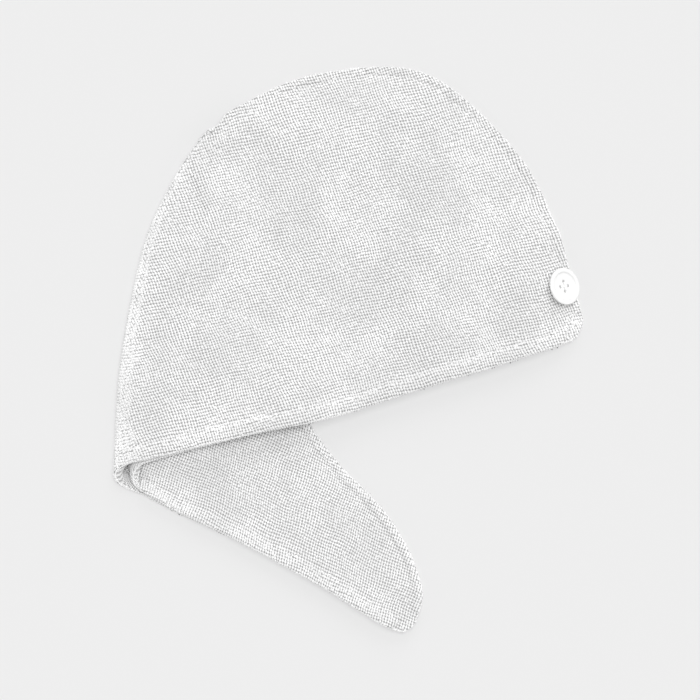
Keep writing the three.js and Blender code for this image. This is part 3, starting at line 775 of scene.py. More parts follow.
def dropped(tree, shape, places, above):
    """Places of the plan carried onto a face, from above or from below, with the normals found there."""
    found, normals, kept = [], [], []
    height, way = (DROP, Vector((0, 0, -1))) if above else (-DROP, Vector((0, 0, 1)))
    for k, (x, y) in enumerate(places):
        hit, normal, _, _ = tree.ray_cast(Vector((x - shape.middle_x, y - shape.middle_y, height)), way)
        if hit is None:
            continue
        if (normal.z > 0) != above:
            normal = -normal
        if abs(normal.z) < STEEPEST:
            continue
        found.append(hit)
        normals.append(normal)
        kept.append(k)
    return np.array(found), np.array(normals), np.array(kept)


def rib_direction(weave):
    """Direction along the ribs, at right angles to the way in which they are counted."""
    return np.append(left_of(unit(weave[0])), 0.0)


def without(vectors, axis):
    """What is left of each vector across its axis, at length 1."""
    return unit(vectors - axis * (vectors * axis).sum(axis=-1, keepdims=True))


def edge_points(shape, edge, up, inner, half, along, step, turns):
    """Loop places round a panel's edge, with facing, rib and size. Turns are degrees up from the panel."""
    run = run_of(edge)
    places = np.arange(step / 2, run[-1], step)
    at = read_at(places, run, edge)
    ahead = unit(np.gradient(at, axis=0))
    up = without(read_at(places, run, up), ahead)
    outward = without(without(at - read_at(places, run, inner), ahead), up)
    points, facings = [], []
    for turn in np.radians(turns):
        points.append(at + up * half * np.sin(turn) - outward * (EDGE_INSET + half * (1 - np.cos(turn))))
        facings.append(outward * np.cos(turn) + up * np.sin(turn))
    ribs = np.tile(ahead, (len(turns), 1))
    swell = np.tile(run_swell(np.interp(places, run, along)), (len(turns), 1))
    return centred(shape, np.concatenate(points)), np.concatenate(facings), ribs, swell


def fold_points(shape, face, first, last, step):
    """Loop places round the outside of the fold."""
    bend = face[first - 1:last + 1]
    run = run_of(bend[len(bend) // 2])
    row_at = np.interp(np.arange(step, run[-1] - step, step), run, np.arange(len(run)))
    points, facings, ribs = [], [], []
    for share in FOLD_LOOP_ROWS:
        column_at = share * (len(bend) - 1)
        low = int(column_at)
        strip = lerp(bend[low], bend[low + 1], column_at - low)
        around = bend[low + 1] - bend[low]
        facing = unit(np.cross(np.gradient(strip, axis=0), around))
        for found, values in ((points, strip), (facings, facing), (ribs, around)):
            found.append(read_at(row_at, np.arange(len(strip)), values))
    facings = np.concatenate(facings)
    if facings[:, 0].mean() > 0:
        facings = -facings
    return centred(shape, np.concatenate(points)), facings, np.concatenate(ribs)


# Nodes

def feed(tree, node, inputs):
    """Links sockets to a node's inputs, or sets their constants."""
    for key, value in inputs.items():
        if isinstance(value, bpy.types.NodeSocket):
            tree.links.new(value, node.inputs[key])
        else:
            node.inputs[key].default_value = value


def add_node(tree, kind, inputs=None, **settings):
    node = tree.nodes.new(kind)
    for key, value in settings.items():
        setattr(node, key, value)
    feed(tree, node, inputs or {})
    return node


def math_node(tree, operation, first, second):
    return add_node(tree, "ShaderNodeMath", {0: first, 1: second}, operation=operation).outputs[0]


def pile_tree():
    """Sets small rounded loops or stitches on the points of a mesh, turned by its facing and rib."""
    tree = bpy.data.node_groups.new("sewn_pile", "GeometryNodeTree")
    for label, kind, default in (
        ("Geometry", "Geometry", None), ("Width", "Float", 0.00085), ("Length", "Float", 0.0011),
        ("Height", "Float", 0.0007), ("Sides", "Int", 6), ("Rings", "Int", 2), ("Size spread", "Float", 0.12),
        ("Lean spread", "Float", 0.2), ("Seed", "Int", 1), ("Material", "Material", None),
    ):
        socket = tree.interface.new_socket(label, in_out="INPUT", socket_type=f"NodeSocket{kind}")
        if default is not None:
            socket.default_value = default
    tree.interface.new_socket("Geometry", in_out="OUTPUT", socket_type="NodeSocketGeometry")
    given = add_node(tree, "NodeGroupInput").outputs

    def add(kind, inputs, output=0, **settings):
        return add_node(tree, kind, inputs, **settings).outputs[output]

    def named(label):
        return add("GeometryNodeInputNamedAttribute", {"Name": label}, "Attribute", data_type="FLOAT_VECTOR")

    def stored(label, geometry, value, domain):
        return add("GeometryNodeStoreNamedAttribute", {"Geometry": geometry, "Name": label, "Value": value},
                   data_type="FLOAT", domain=domain)

    sphere = add("GeometryNodeMeshUVSphere", {
        "Segments": given["Sides"], "Rings": given["Rings"], "Radius": 1.0,
    }, "Mesh")
    height = add("ShaderNodeSeparateXYZ", {"Vector": add("GeometryNodeInputPosition", {})}, "Z")
    loop = stored("rise", sphere, height, "POINT")
    upright = add("FunctionNodeAlignRotationToVector", {"Vector": named("facing")}, axis="Z")
    along = add("FunctionNodeAlignRotationToVector", {"Rotation": upright, "Vector": named("rib")},
                axis="Y", pivot_axis="Z")
    most = add("ShaderNodeCombineXYZ", {axis: given["Lean spread"] for axis in "XYZ"})
    least = add("ShaderNodeVectorMath", {0: most, "Scale": -1.0}, operation="SCALE")
    lean = add("FunctionNodeRandomValue", {"Min": least, "Max": most, "Seed": given["Seed"]},
               data_type="FLOAT_VECTOR")
    leaned = add("FunctionNodeEulerToRotation", {"Euler": lean})
    turned = add("FunctionNodeRotateRotation", {"Rotation": along, "Rotate By": leaned},
                 rotation_space="LOCAL")
    even = add("ShaderNodeCombineXYZ", {"X": given["Width"], "Y": given["Length"], "Z": given["Height"]})
    size = add("ShaderNodeVectorMath", {0: even, 1: named("swell")}, operation="MULTIPLY")
    grown = add("FunctionNodeRandomValue", {
        2: math_node(tree, "SUBTRACT", 1.0, given["Size spread"]),
        3: math_node(tree, "ADD", 1.0, given["Size spread"]),
        "Seed": math_node(tree, "ADD", given["Seed"], SIZE_SEED),
    }, 1, data_type="FLOAT")
    scaled = add("ShaderNodeVectorMath", {0: size, "Scale": grown}, operation="SCALE")
    placed = add("GeometryNodeInstanceOnPoints", {
        "Points": given["Geometry"], "Instance": loop, "Rotation": turned, "Scale": scaled,
    })
    chance = add("FunctionNodeRandomValue", {"Seed": math_node(tree, "ADD", given["Seed"], TONE_SEED)}, 1,
                 data_type="FLOAT")
    toned = stored("tone", placed, chance, "INSTANCE")
    real = add("GeometryNodeRealizeInstances", {"Geometry": toned})
    soft = add("GeometryNodeSetShadeSmooth", {"Geometry": real})
    painted = add("GeometryNodeSetMaterial", {"Geometry": soft, "Material": given["Material"]})
    add_node(tree, "NodeGroupOutput", {0: painted})
    return tree


def evaluated_mesh(piece, **options):
    """A plain mesh of what the piece's modifiers make."""
    bpy.context.view_layer.update()
    graph = bpy.context.evaluated_depsgraph_get()
    return bpy.data.meshes.new_from_object(piece.evaluated_get(graph), depsgraph=graph, **options)


def set_pile(name, points, facings, ribs, material, swell=None, **inputs):
    """A plain mesh of realized loops or stitches."""
    swell = np.ones((len(points), 3)) if swell is None else swell
    tree = bpy.data.node_groups.get("sewn_pile") or pile_tree()
    mesh = bpy.data.meshes.new(name + "_places")
    mesh.from_pydata(points.tolist(), [], [])
    for label, values in (("facing", facings), ("rib", ribs), ("swell", swell)):
        attribute = mesh.attributes.new(label, "FLOAT_VECTOR", "POINT")
        attribute.data.foreach_set("vector", np.asarray(values, np.float32).ravel())
    places = add_object(name + "_places", mesh)
    modifier = places.modifiers.new("pile", "NODES")
    modifier.node_group = tree
    given = {**inputs, "Material": material}
    for item in tree.interface.items_tree:
        if item.item_type == "SOCKET" and item.in_out == "INPUT" and item.name in given:
            modifier[item.identifier] = given[item.name]
    made = evaluated_mesh(places, preserve_all_data_layers=True)
    made.name = name
    places.modifiers.remove(modifier)
    bpy.data.objects.remove(places)
    if not made.polygons:
        raise RuntimeError(f"{name} came out empty")
    return add_object(name, made)


# Materials: each function returns the inputs of its surface

def mixed(tree, factor, first, second):
    return add_node(tree, "ShaderNodeMix", {0: factor, 6: first, 7: second}, data_type="RGBA").outputs[2]


def mapped(tree, value, low, high, to_low=0.0, to_high=1.0):
    return add_node(tree, "ShaderNodeMapRange", {
        "Value": value, "From Min": low, "From Max": high, "To Min": to_low, "To Max": to_high,
    }, interpolation_type="SMOOTHSTEP").outputs[0]


def noise(tree, vector, scale, detail=2.0, roughness=0.5):
    return add_node(tree, "ShaderNodeTexNoise", {
        "Vector": vector, "Scale": scale, "Detail": detail, "Roughness": roughness,
    }).outputs["Fac"]


def banded(tree, vector, scale, distortion, detail, way):
    return add_node(tree, "ShaderNodeTexWave", {
        "Vector": vector, "Scale": scale, "Distortion": distortion, "Detail": detail,
    }, bands_direction=way).outputs["Fac"]


def bumped(tree, height, strength, distance):
    return add_node(tree, "ShaderNodeBump", {
        "Height": height, "Strength": strength, "Distance": distance,
    }).outputs[0]


def rgba(colour_value, factor=1.0):
    return (*[min(1.0, c * factor) for c in colour_value], 1.0)


SOFT_FIBRE = {"Sheen Weight": 0.5, "Sheen Roughness": 0.6, "Specular IOR Level": 0.2}


def ground_finish(tree, place, terry):
    """Ground weave of the terry, with a pit at each corner between the loops, darkened there with painted
    shade.
    """
    weave = add_node(tree, "ShaderNodeUVMap", uv_map="weave").outputs[0]
    cell = add_node(tree, "ShaderNodeSeparateXYZ", {"Vector": weave})
    across, along = (
        math_node(tree, "COSINE", math_node(tree, "MULTIPLY", cell.outputs[axis], 2 * math.pi), 0.0)
        for axis in "XY"
    )
    loop = math_node(tree, "ADD", across, along)
    fibre = noise(tree, place, 1400.0, 3.0, 0.6)
    height = math_node(tree, "ADD", mapped(tree, loop, -1.8, 1.6), math_node(tree, "MULTIPLY", fibre, 0.35))
    # Painted shade: the ground goes from the pile colour on its crests to the grey pit shade in its pits
    tint = mixed(tree, mapped(tree, height, 0.0, 1.2), rgba(terry.pit_colour), rgba(terry.colour))
    spots = mapped(tree, noise(tree, place, 300.0), 0.3, 0.7, 0.0, 0.12)
    return {
        "Base Color": mixed(tree, spots, tint, rgba(terry.pit_colour)), "Roughness": 0.95,
        "Normal": bumped(tree, height, 0.8, 0.0006), **SOFT_FIBRE,
    }


def loop_finish(tree, place, terry):
    """Loops of the pile with painted shade: bright on top and grey down at their feet, and darker in broad
    soft patches that stand for the shading of the gently waved cloth.
    """
    rise, tone = (
        add_node(tree, "ShaderNodeAttribute", attribute_name=name).outputs["Fac"] for name in ("rise", "tone")
    )
    fibre = noise(tree, place, 2200.0, 3.0, 0.6)
    bright = mixed(tree, tone, rgba(terry.colour, 0.94), rgba(terry.colour, 1.01))
    # Painted shade: the lower a point of a loop, the nearer its colour to the grey pit shade, as at a shaded
    # foot
    lift = math_node(tree, "ADD", rise, math_node(tree, "MULTIPLY", fibre, 0.4))
    # Painted shade: broad soft patches darkened towards the pit shade, standing for the shading across the
    # waved cloth
    wave_shade = mapped(tree, noise(tree, place, 26.0, 3.0, 0.55), 0.36, 0.64, 0.0, 0.16)
    wave_shaded = mixed(tree, wave_shade, bright, rgba(terry.pit_colour))
    return {
        "Base Color": mixed(tree, mapped(tree, lift, -0.16, 0.68), rgba(terry.pit_colour), wave_shaded),
        "Roughness": 0.92, "Normal": bumped(tree, fibre, 0.5, 0.0002), **SOFT_FIBRE,
    }


def thread_finish(tree, place, settings):
    twist = banded(tree, place, 900.0, 1.5, 1.0, "DIAGONAL")
    dark, light = (rgba(settings.thread_colour, factor) for factor in (0.9, 1.03))
    return {
        "Base Color": mixed(tree, twist, dark, light), "Roughness": 0.6,
        "Normal": bumped(tree, twist, 0.5, 0.0001), "Sheen Weight": 0.2,
    }


def plastic_finish(tree, place, settings):
    cloud, scuff = noise(tree, place, 160.0, 3.0), noise(tree, place, 700.0)
    tint = mixed(tree, mapped(tree, cloud, 0.3, 0.7), rgba(settings.colour, 0.985), rgba(settings.colour))
    return {
        "Base Color": tint, "Normal": bumped(tree, cloud, 0.06, 0.0002),
        "Roughness": mapped(tree, scuff, 0.3, 0.8, settings.roughness * 0.85, settings.roughness * 1.3),
        "Coat Weight": 0.4, "Coat Roughness": 0.08, "IOR": 1.5,
    }


def elastic_finish(tree, place, terry):
    ribs = banded(tree, place, 420.0, 0.6, 2.0, "X")
    tint = mixed(tree, ribs, rgba(terry.colour, 0.8), rgba(terry.colour))
    return {"Base Color": tint, "Roughness": 0.7, "Normal": bumped(tree, ribs, 0.6, 0.0003)}


def floor_finish(tree, place, stage):
    grain = noise(tree, place, 40.0)
    return {
        "Base Color": mixed(tree, grain, rgba(stage.floor_colour, 0.998), rgba(stage.floor_colour, 1.002)),
        "Roughness": 1.0, "Specular IOR Level": 0.0,
        "Emission Color": (1.0, 1.0, 1.0, 1.0), "Emission Strength": stage.floor_glow,
    }


FINISHES = {
    "terry_ground": (ground_finish, "turban_terry"),
    "terry_loops": (loop_finish, "turban_terry"),
    "sewing_thread_white": (thread_finish, "turban_button"),
    "button_plastic_white": (plastic_finish, "turban_button"),
    "elastic_white": (elastic_finish, "turban_terry"),
    "studio_floor": (floor_finish, "turban_stage"),
}


def finish_of(scene, name):
    """The material of this name, made when it is first asked for."""
    if name in bpy.data.materials:
        return bpy.data.materials[name]
    material = bpy.data.materials.new(name)
    material.use_nodes = True
    tree = material.node_tree
    tree.nodes.clear()
    surface = add_node(tree, "ShaderNodeBsdfPrincipled")
    add_node(tree, "ShaderNodeOutputMaterial", {0: surface.outputs[0]})
    place = add_node(tree, "ShaderNodeTexCoord").outputs["Object"]
    finish, group = FINISHES[name]
    feed(tree, surface, finish(tree, place, getattr(scene, group)))
    return material


def towel_grid(scene):
    pattern = Pattern(scene.turban_shape, scene.turban_terry)
    return (pattern, *cloth_grid(pattern))


def settle(piece, node=None):
    """The piece rides on the towel and, given a node, stands for that imported part, which is hidden."""
    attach(piece, "root")
    if node:
        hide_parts(node)


# Operators

class TURBAN_OT_stage(bpy.types.Operator):
    """Set the camera straight above the towel, the pale floor and the soft light"""

    bl_idname = "turban.stage"
    bl_label = "Set the stage"

    def execute(self, context):
        stage, scene = context.scene.turban_stage, context.scene
        camera = add_object("camera", bpy.data.cameras.new("camera"))
        camera.data.sensor_width = stage.sensor
        camera.data.lens = stage.sensor * stage.camera_height / stage.field
        camera.data.clip_start, camera.data.clip_end = 0.05, 40.0
        camera.location = (stage.aim_x, stage.aim_y, stage.camera_height)
        scene.camera = camera
        half = stage.floor_size / 2
        mesh = bpy.data.meshes.new("floor")
        corners = [(x * half, y * half, 0) for x, y in ((-1, -1), (1, -1), (1, 1), (-1, 1))]
        mesh.from_pydata(corners, [], [(0, 1, 2, 3)])
        mesh.materials.append(finish_of(scene, "studio_floor"))
        add_object("floor", mesh)
        world = bpy.data.worlds.new("studio")
        world.use_nodes = True
        sky = world.node_tree.nodes["Background"]
        sky.inputs["Color"].default_value = (1.0, 1.0, 1.0, 1.0)
        sky.inputs["Strength"].default_value = stage.sky_strength
        scene.world = world
        self.light("key", stage, "key", stage.key_side)
        self.light("back", stage, "back", stage.back_side)
        for name, side in (("left", 180), ("front", 270), ("right", 0)):
            self.light(f"{name}_fill", stage, "fill", math.radians(side))
        scene.view_settings.view_transform = "Standard"
        return {"FINISHED"}

    @staticmethod
    def light(name, stage, kind, side):
        lamp = add_object(f"{name}_light", bpy.data.lights.new(f"{name}_light", "SUN"))
        lamp.data.energy = getattr(stage, f"{kind}_strength")
        lamp.data.angle = getattr(stage, f"{kind}_softness")
        height = getattr(stage, f"{kind}_height")
        level = math.cos(height)
        toward = Vector((math.cos(side) * level, math.sin(side) * level, math.sin(height)))
        lamp.rotation_euler = toward.to_track_quat("Z", "Y").to_euler()
        lamp.location = toward * 2


class TURBAN_OT_panels(bpy.types.Operator):
    """Lay the two terry panels: hood, fold and tail"""

    bl_idname = "turban.panels"
    bl_label = "Lay the panels"

    def execute(self, context):
        scene = context.scene
        shape, terry = scene.turban_shape, scene.turban_terry
        _, grid, flat, _, tail_first = towel_grid(scene)
        weaves = (lattice(terry, "hood"), lattice(terry, "tail"))
        for name in ("outer", "inner"):
            face, back = grid[f"{name}_face"], grid[f"{name}_back"]
            mesh = panel_mesh(f"{name}_cloth", shape, face, back, flat, weaves, tail_first)
            mesh.materials.append(finish_of(scene, "terry_ground"))
            settle(add_object(f"{name}_cloth", mesh), f"{name}_panel")
        return {"FINISHED"}


def pile_sizes(terry, part, **changes):
    """Inputs of the pile tree for the loops of the hood or of the tail."""
    fullness, seed = (1.0, terry.seed) if part == "hood" else (terry.tail_fullness, terry.seed + 1)
    return {
        "Width": getattr(terry, f"{part}_pitch") * terry.loop_across * fullness,
        "Length": getattr(terry, f"{part}_step") * terry.loop_along * fullness,
        "Height": terry.pile, "Sides": 6, "Rings": 3, "Seed": seed,
        "Size spread": terry.size_spread, "Lean spread": terry.lean_spread, **changes,
    }


def edge_places(shape, terry, grid, fold_first, fold_last):
    """Loop places along every edge: on each panel, and in the seam between the two."""
    in_bend = np.zeros(len(grid["outer_face"]))
    in_bend[fold_first:fold_last] = 1
    in_bend = np.convolve(in_bend, np.ones(5) / 5, mode="same")
    round_fold, even = lerp(*EDGE_RUN, in_bend), np.zeros(len(grid["outer_face"][0]))
    sides = (
        (lambda g: g[:, 0], lambda g: g[:, BESIDE], round_fold, terry.hood_pitch, HEM_TURNS),
        (lambda g: g[:, -1], lambda g: g[:, -BESIDE], round_fold, terry.hood_step, (0,)),
        (lambda g: g[0], lambda g: g[BESIDE], even, terry.hood_step, (0,)),
        (lambda g: g[-1], lambda g: g[-BESIDE], even, terry.tail_step, (0,)),
    )
    outer, inner = ((grid[f"{name}_face"] + grid[f"{name}_back"]) / 2 for name in ("outer", "inner"))
    ups = [grid[f"{name}_face"] - grid[f"{name}_back"] for name in ("outer", "inner")]
    seam = (outer + inner) / 2
    parts = []
    for take, near, along, step, turns in sides:
        for layer, up in zip((outer, inner), ups):
            parts.append(edge_points(shape, take(layer), near(up), near(layer), EDGE_HALF, along, step,
                                     turns))
    for take, near, along, step, _ in sides[1:]:
        parts.append(edge_points(shape, take(seam), near(outer - inner), near(seam), 0.0, along, step, (0,)))
    return [np.concatenate(values) for values in zip(*parts)]


class TURBAN_OT_pile(bpy.types.Operator):
    """Cover the panels with rows of terry loops"""

    bl_idname = "turban.pile"
    bl_label = "Raise the pile"

    def execute(self, context):
        scene = context.scene
        shape, terry = scene.turban_shape, scene.turban_terry
        pattern, grid, _, fold_first, fold_last = towel_grid(scene)
        material = finish_of(scene, "terry_loops")
        half = (fold_first + fold_last) // 2
        weaves = {part: lattice(terry, part) for part in ("hood", "tail")}
        outline = np.vstack([pattern.hood_outline, pattern.tail_outline])
        places = {part: lattice_points(weave, outline, terry) for part, weave in weaves.items()}
        middle = HOOD_SPLIT * shape.hood_length * math.cos(shape.mouth_slope)

        def left_half(p):
            return p[:, 0] < middle

        def right_half(p):
            return p[:, 0] >= middle

        def shown_tail(p):
            return ~(is_inside(pattern.hood_outline, p) & (distance_to(pattern.mouth_line, p) > UNDER_HOOD))

        def bare_hood(p):
            return ~(is_inside(pattern.tail_outline, p) & (distance_to(pattern.tail_outline, p) > UNDER_TAIL))

        def everywhere(p):
            return np.ones(len(p), bool)

        for name, part, face, columns, above, keep, changes in (
            ("hood_loops_left", "hood", "outer_face", (0, half + 1), True, left_half, {}),
            ("hood_loops_right", "hood", "outer_face", (0, half + 1), True, right_half, {}),
            ("tail_loops", "tail", "inner_face", (half, None), True, shown_tail, {}),
            ("hood_under_loops", "hood", "inner_face", (0, fold_first), False, bare_hood, COARSE),
            ("tail_under_loops", "tail", "outer_face", (half, None), False, everywhere, COARSE),
        ):
            tree = face_tree(shape, grid[face][slice(*columns)])
            points, normals, kept = dropped(tree, shape, places[part], above)
            chosen = keep(places[part][kept])
            points, normals, at = points[chosen], normals[chosen], places[part][kept][chosen]
            ribs = np.repeat(rib_direction(weaves[part])[None], len(points), axis=0)
            swell = loop_swell(pattern, terry, at, normals, part == "hood")
            sizes = pile_sizes(terry, part, **changes)
            settle(set_pile(name, points, normals, ribs, material, swell, **sizes))

        hood_sizes = pile_sizes(terry, "hood")
        points, facings, ribs = fold_points(shape, grid["outer_face"], fold_first, fold_last, terry.hood_step)
        swell = np.tile(FOLD_LOOP_SWELL, (len(points), 1))
        settle(set_pile("fold_loops", points, facings, ribs, material, swell, **hood_sizes))
        points, facings, ribs, swell = edge_places(shape, terry, grid, fold_first, fold_last)
        settle(set_pile("edge_loops", points, facings, ribs, material, swell, **hood_sizes))
        return {"FINISHED"}


class TURBAN_OT_stitches(bpy.types.Operator):
    """Sew the hems and the rims"""

    bl_idname = "turban.stitches"
    bl_label = "Sew the edges"

    def execute(self, context):
        scene = context.scene
        shape, terry = scene.turban_shape, scene.turban_terry
        _, grid, _, fold_first, fold_last = towel_grid(scene)
        last_row = len(grid["outer_face"][0]) - 1
        sewn_rows = (HEM_ROWS.index(HEM_SEAM), last_row - RIM_ROWS.index(RIM_SEAM))
        material = finish_of(scene, "sewing_thread_white")
        points, facings, ribs = [], [], []
        for name, first, last, up in (
            ("outer_face", BESIDE, fold_first, 1), ("inner_face", BESIDE, fold_first, -1),
            ("inner_face", fold_last, -BESIDE, 1), ("outer_face", fold_last, -BESIDE, -1),
        ):
            for row in sewn_rows:
                line = grid[name][first:last, row]
                run = run_of(line)
                at = read_at(np.arange(FIRST_STITCH, run[-1], STITCH_STEP), run, line)
                points.append(centred(shape, at))
                facings.append(np.tile([0.0, 0.0, float(up)], (len(at), 1)))
                ribs.append(np.gradient(at, axis=0))
        places = (np.concatenate(values) for values in (points, facings, ribs))
        stitches = set_pile("seam_stitches", *places, material, Seed=terry.seed, **STITCH)
        settle(stitches)
        return {"FINISHED"}


# Wall of the sunk middle: across and down as shares of its depth
WELL_WALL = [(1.0, 0.0), (0.72, 0.03), (0.45, 0.16), (0.1, 0.45), (-0.3, 0.78), (-0.75, 0.95), (-1.3, 1.0)]
# Rounded mouth of a hole: millimetres wider than the hole, and above the floor of the sunk middle
HOLE_FLARE = [(0, -0.35), (0.1, -0.12), (0.35, 0.02), (0.6, 0.3)]
BUTTON_SIDES, HOLE_SIDES = 96, 24
THREAD_DROP = 0.9 * MM  # from the sunk middle down to the strands' ends, and from the back to the winding
SHANK_RADIUS, WINDING_RADIUS, WINDING_PITCH = 2.0 * MM, 0.32 * MM, 0.62 * MM
STRAND = 0.29  # radius of one strand as a share of the thread in a hole
STRAND_SIDES, WINDING_SIDES, SHANK_SIDES = 8, 6, 20


def button_frame(settings):
    """Matrix from the button's own back plane to its place on the towel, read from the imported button."""
    axis = Vector((
        math.cos(settings.lean) * math.sin(settings.tilt), math.sin(settings.lean) * math.sin(settings.tilt),
        math.cos(settings.tilt),
    ))
    turned = Vector((0, 0, 1)).rotation_difference(axis).to_matrix()
    corners = np.array([v.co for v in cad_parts["button"].data.vertices]) @ np.array(turned)
    low, high = corners.min(axis=0), corners.max(axis=0)
    centre = turned @ Vector(((low[0] + high[0]) / 2, (low[1] + high[1]) / 2, low[2]))
    return Matrix.Translation(centre) @ turned.to_4x4()


def turned_solid(name, outline, sides):
    """A closed solid turned about its own upright axis from an outline that starts and ends on it."""
    turns = 2 * np.pi * np.arange(sides) / sides
    ring = np.stack([np.cos(turns), np.sin(turns)], axis=1)
    points, faces = [[0, 0, outline[0][1]]], []
    for radius, height in outline[1:-1]:
        points += [[x * radius, y * radius, height] for x, y in ring]
    points.append([0, 0, outline[-1][1]])
    last = len(points) - 1
    for j in range(sides):
        k = (j + 1) % sides
        faces.append([0, 1 + k, 1 + j])
        for level in range(len(outline) - 3):
            a, b = 1 + level * sides, 1 + (level + 1) * sides
            faces.append([a + j, a + k, b + k, b + j])
        top = 1 + (len(outline) - 3) * sides
        faces.append([top + j, top + k, last])
    return outward_mesh(name, np.array(points), faces)


class TURBAN_OT_button(bpy.types.Operator):
    """Turn the four-hole button"""

    bl_idname = "turban.button"
    bl_label = "Turn the button"

    def execute(self, context):
        settings = context.scene.turban_button
        outer, well, top = settings.diameter / 2, settings.well_diameter / 2, settings.thickness
        edge, depth, back = settings.edge, settings.well_depth, settings.back / 2
        floor, hole = top - depth, settings.hole_diameter / 2
        outline = [(0, 0), (back / 2, 0), (back - 0.3 * MM, 0), (back + 0.3 * MM, 0.06 * MM)]
        outline += [
            (lerp(back, outer - edge / 4, s), (top - edge) * s ** 1.15) for s in (0.3, 0.6, 0.85, 0.97)
        ]
        outline += [
            (outer - edge * 0.3 + edge * 0.3 * math.cos(t), top - edge * 0.5 + edge * 0.5 * math.sin(t))
            for t in np.radians(np.linspace(-78, 90, 12))
        ]
        outline += [(well + depth * 0.45 * across, top - depth * down) for across, down in WELL_WALL]
        outline += [(well * 0.6, floor), (0, floor)]
        piece = add_object("four_hole_button", turned_solid("four_hole_button", outline, BUTTON_SIDES))
        flare = [(hole + wider * MM, floor + higher * MM) for wider, higher in HOLE_FLARE]
        cutter_outline = [(0, -2 * MM), (hole, -2 * MM), *flare, (0, top + MM)]
        cutters = []
        for k in range(4):
            place = direction(math.degrees(settings.hole_turn) + 90 * k) * settings.hole_circle / 2
            cutter = add_object(f"hole_{k}", turned_solid(f"hole_{k}", cutter_outline, HOLE_SIDES))
            cutter.data.transform(Matrix.Translation((place[0], place[1], 0)))
            modifier = piece.modifiers.new(f"hole_{k}", "BOOLEAN")
            modifier.operation, modifier.solver, modifier.object = "DIFFERENCE", "EXACT", cutter
            cutters.append(cutter)
        drilled = evaluated_mesh(piece)
        piece.modifiers.clear()
        for cutter in cutters:
            bpy.data.objects.remove(cutter)
        piece.data = drilled
        drilled.name = "four_hole_button"
        drilled.transform(button_frame(settings))
        drilled.shade_smooth()
        drilled.set_sharp_from_angle(angle=math.radians(50))
        drilled.materials.clear()
        drilled.materials.append(finish_of(context.scene, "button_plastic_white"))
        settle(piece, "button")
        return {"FINISHED"}


def tube(points, radius, sides):
    """Points and faces of a closed tube along a path."""
    points = np.asarray(points, float)
    ahead = unit(np.gradient(points, axis=0))
    side = np.cross(ahead[0], [0.3, 0.2, 0.9])
    turns = 2 * np.pi * np.arange(sides) / sides
    rings = []
    for k in range(len(points)):
        side = without(side, ahead[k])
        other = np.cross(ahead[k], side)
        rings.append(points[k] + radius * (np.cos(turns)[:, None] * side + np.sin(turns)[:, None] * other))
    number = np.arange(len(points) * sides).reshape(len(points), sides)
    walls = quads_of(np.concatenate([number, number[:, :1]], axis=1)).tolist()
    return np.concatenate(rings), [*walls, number[0, ::-1].tolist(), number[-1].tolist()]


def joined_mesh(name, shapes):
    mesh = bmesh.new()
    for vertices, faces in shapes:
        part = outward_mesh("part", np.asarray(vertices), faces)
        mesh.from_mesh(part)
        bpy.data.meshes.remove(part)
    made = bpy.data.meshes.new(name)
    mesh.to_mesh(made)
    mesh.free()
    made.shade_smooth()
    return made


class TURBAN_OT_thread(bpy.types.Operator):
    """Cross the thread through the button's holes and wind its shank"""

    bl_idname = "turban.thread"
    bl_label = "Sew on the button"

    def execute(self, context):
        settings = context.scene.turban_button
        place = button_frame(settings)
        floor = settings.thickness - settings.well_depth
        strand = settings.thread_diameter * STRAND
        share = np.linspace(-1, 1, 25)
        bend = np.clip(1 - np.abs(share) ** 6, 0, 1) ** 0.5
        along = share * (settings.hole_circle / 2 - 0.5 * MM)
        shapes = []
        for k in range(2):
            ahead = direction(math.degrees(settings.hole_turn) + 90 * k)
            lift = floor - THREAD_DROP + (THREAD_DROP + strand * (0.5 + 1.1 * k)) * bend
            for offset in (-1, 1):
                plan = along[:, None] * ahead + left_of(ahead) * offset * strand * 0.8
                shapes.append(tube(raised(plan, lift), strand, STRAND_SIDES))
        box = np.array([v.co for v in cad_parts["button_thread"].data.vertices])
        local = (np.array(place.inverted().to_3x3()) @ (box - np.array(place.translation)).T).T
        depth = -local[:, 2].min()
        turns = max(3, int(depth / WINDING_PITCH))
        spin = np.linspace(0, 2 * np.pi * turns, 18 * turns + 1)
        down = np.linspace(-THREAD_DROP, -depth + 0.3 * MM, len(spin))
        wound = raised(SHANK_RADIUS * direction(np.degrees(spin)), down)
        shapes.append(tube(wound, WINDING_RADIUS, WINDING_SIDES))
        core = [[0, 0, -THREAD_DROP], [0, 0, -depth / 2], [0, 0, -depth + 0.05 * MM]]
        shapes.append(tube(core, SHANK_RADIUS, SHANK_SIDES))
        mesh = joined_mesh("button_sewing", shapes)
        mesh.transform(place)
        mesh.materials.append(finish_of(context.scene, "sewing_thread_white"))
        settle(add_object("button_sewing", mesh), "button_thread")
        return {"FINISHED"}


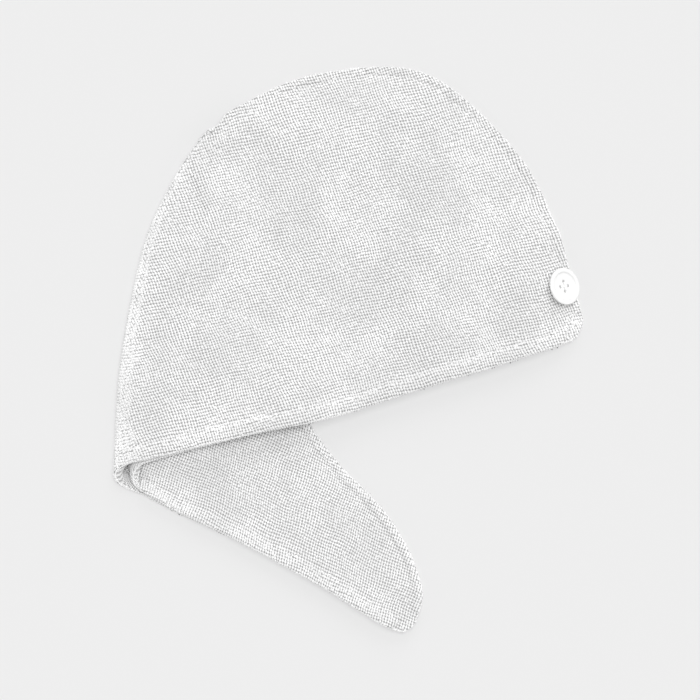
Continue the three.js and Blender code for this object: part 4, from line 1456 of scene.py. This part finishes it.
class TURBAN_OT_elastic(bpy.types.Operator):
    """Finish the elastic loop under the tip of the tail"""

    bl_idname = "turban.elastic"
    bl_label = "Finish the elastic"

    def execute(self, context):
        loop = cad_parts["elastic_loop"]
        loop.data.materials.clear()
        loop.data.materials.append(finish_of(context.scene, "elastic_white"))
        return {"FINISHED"}


class TURBAN_OT_declare(bpy.types.Operator):
    """Left empty: this step does nothing"""

    bl_idname = "turban.declare"
    bl_label = "Declare the cloth"

    def execute(self, context):
        return {"FINISHED"}


STEPS = (
    TURBAN_OT_stage, TURBAN_OT_panels, TURBAN_OT_pile, TURBAN_OT_stitches, TURBAN_OT_button,
    TURBAN_OT_thread, TURBAN_OT_elastic, TURBAN_OT_declare,
)


class TURBAN_PT_sidebar(bpy.types.Panel):
    """Lists the steps and the sizes in the sidebar"""

    bl_idname = "TURBAN_PT_sidebar"
    bl_label = "Hair turban towel"
    bl_space_type = "VIEW_3D"
    bl_region_type = "UI"
    bl_category = "Turban"

    def draw(self, context):
        for step in STEPS:
            self.layout.operator(step.bl_idname)
        for name in GROUPS:
            settings = getattr(context.scene, name)
            box = self.layout.box()
            for key in settings.__annotations__:
                box.prop(settings, key)


GROUPS = {
    "turban_shape": TURBAN_PG_shape,
    "turban_terry": TURBAN_PG_terry,
    "turban_button": TURBAN_PG_button,
    "turban_stage": TURBAN_PG_stage,
}
CLASSES = (*GROUPS.values(), *STEPS, TURBAN_PT_sidebar)


def register():
    for item in CLASSES:
        bpy.utils.register_class(item)
    for name, group in GROUPS.items():
        setattr(bpy.types.Scene, name, PointerProperty(type=group))


def unregister():
    for name in GROUPS:
        delattr(bpy.types.Scene, name)
    for item in reversed(CLASSES):
        bpy.utils.unregister_class(item)


def main():
    register()
    bpy.ops.turban.stage()
    bpy.ops.turban.panels()
    bpy.ops.turban.pile()
    bpy.ops.turban.stitches()
    bpy.ops.turban.button()
    bpy.ops.turban.thread()
    bpy.ops.turban.elastic()
    bpy.ops.turban.declare()


if __name__ == "__main__":
    main()
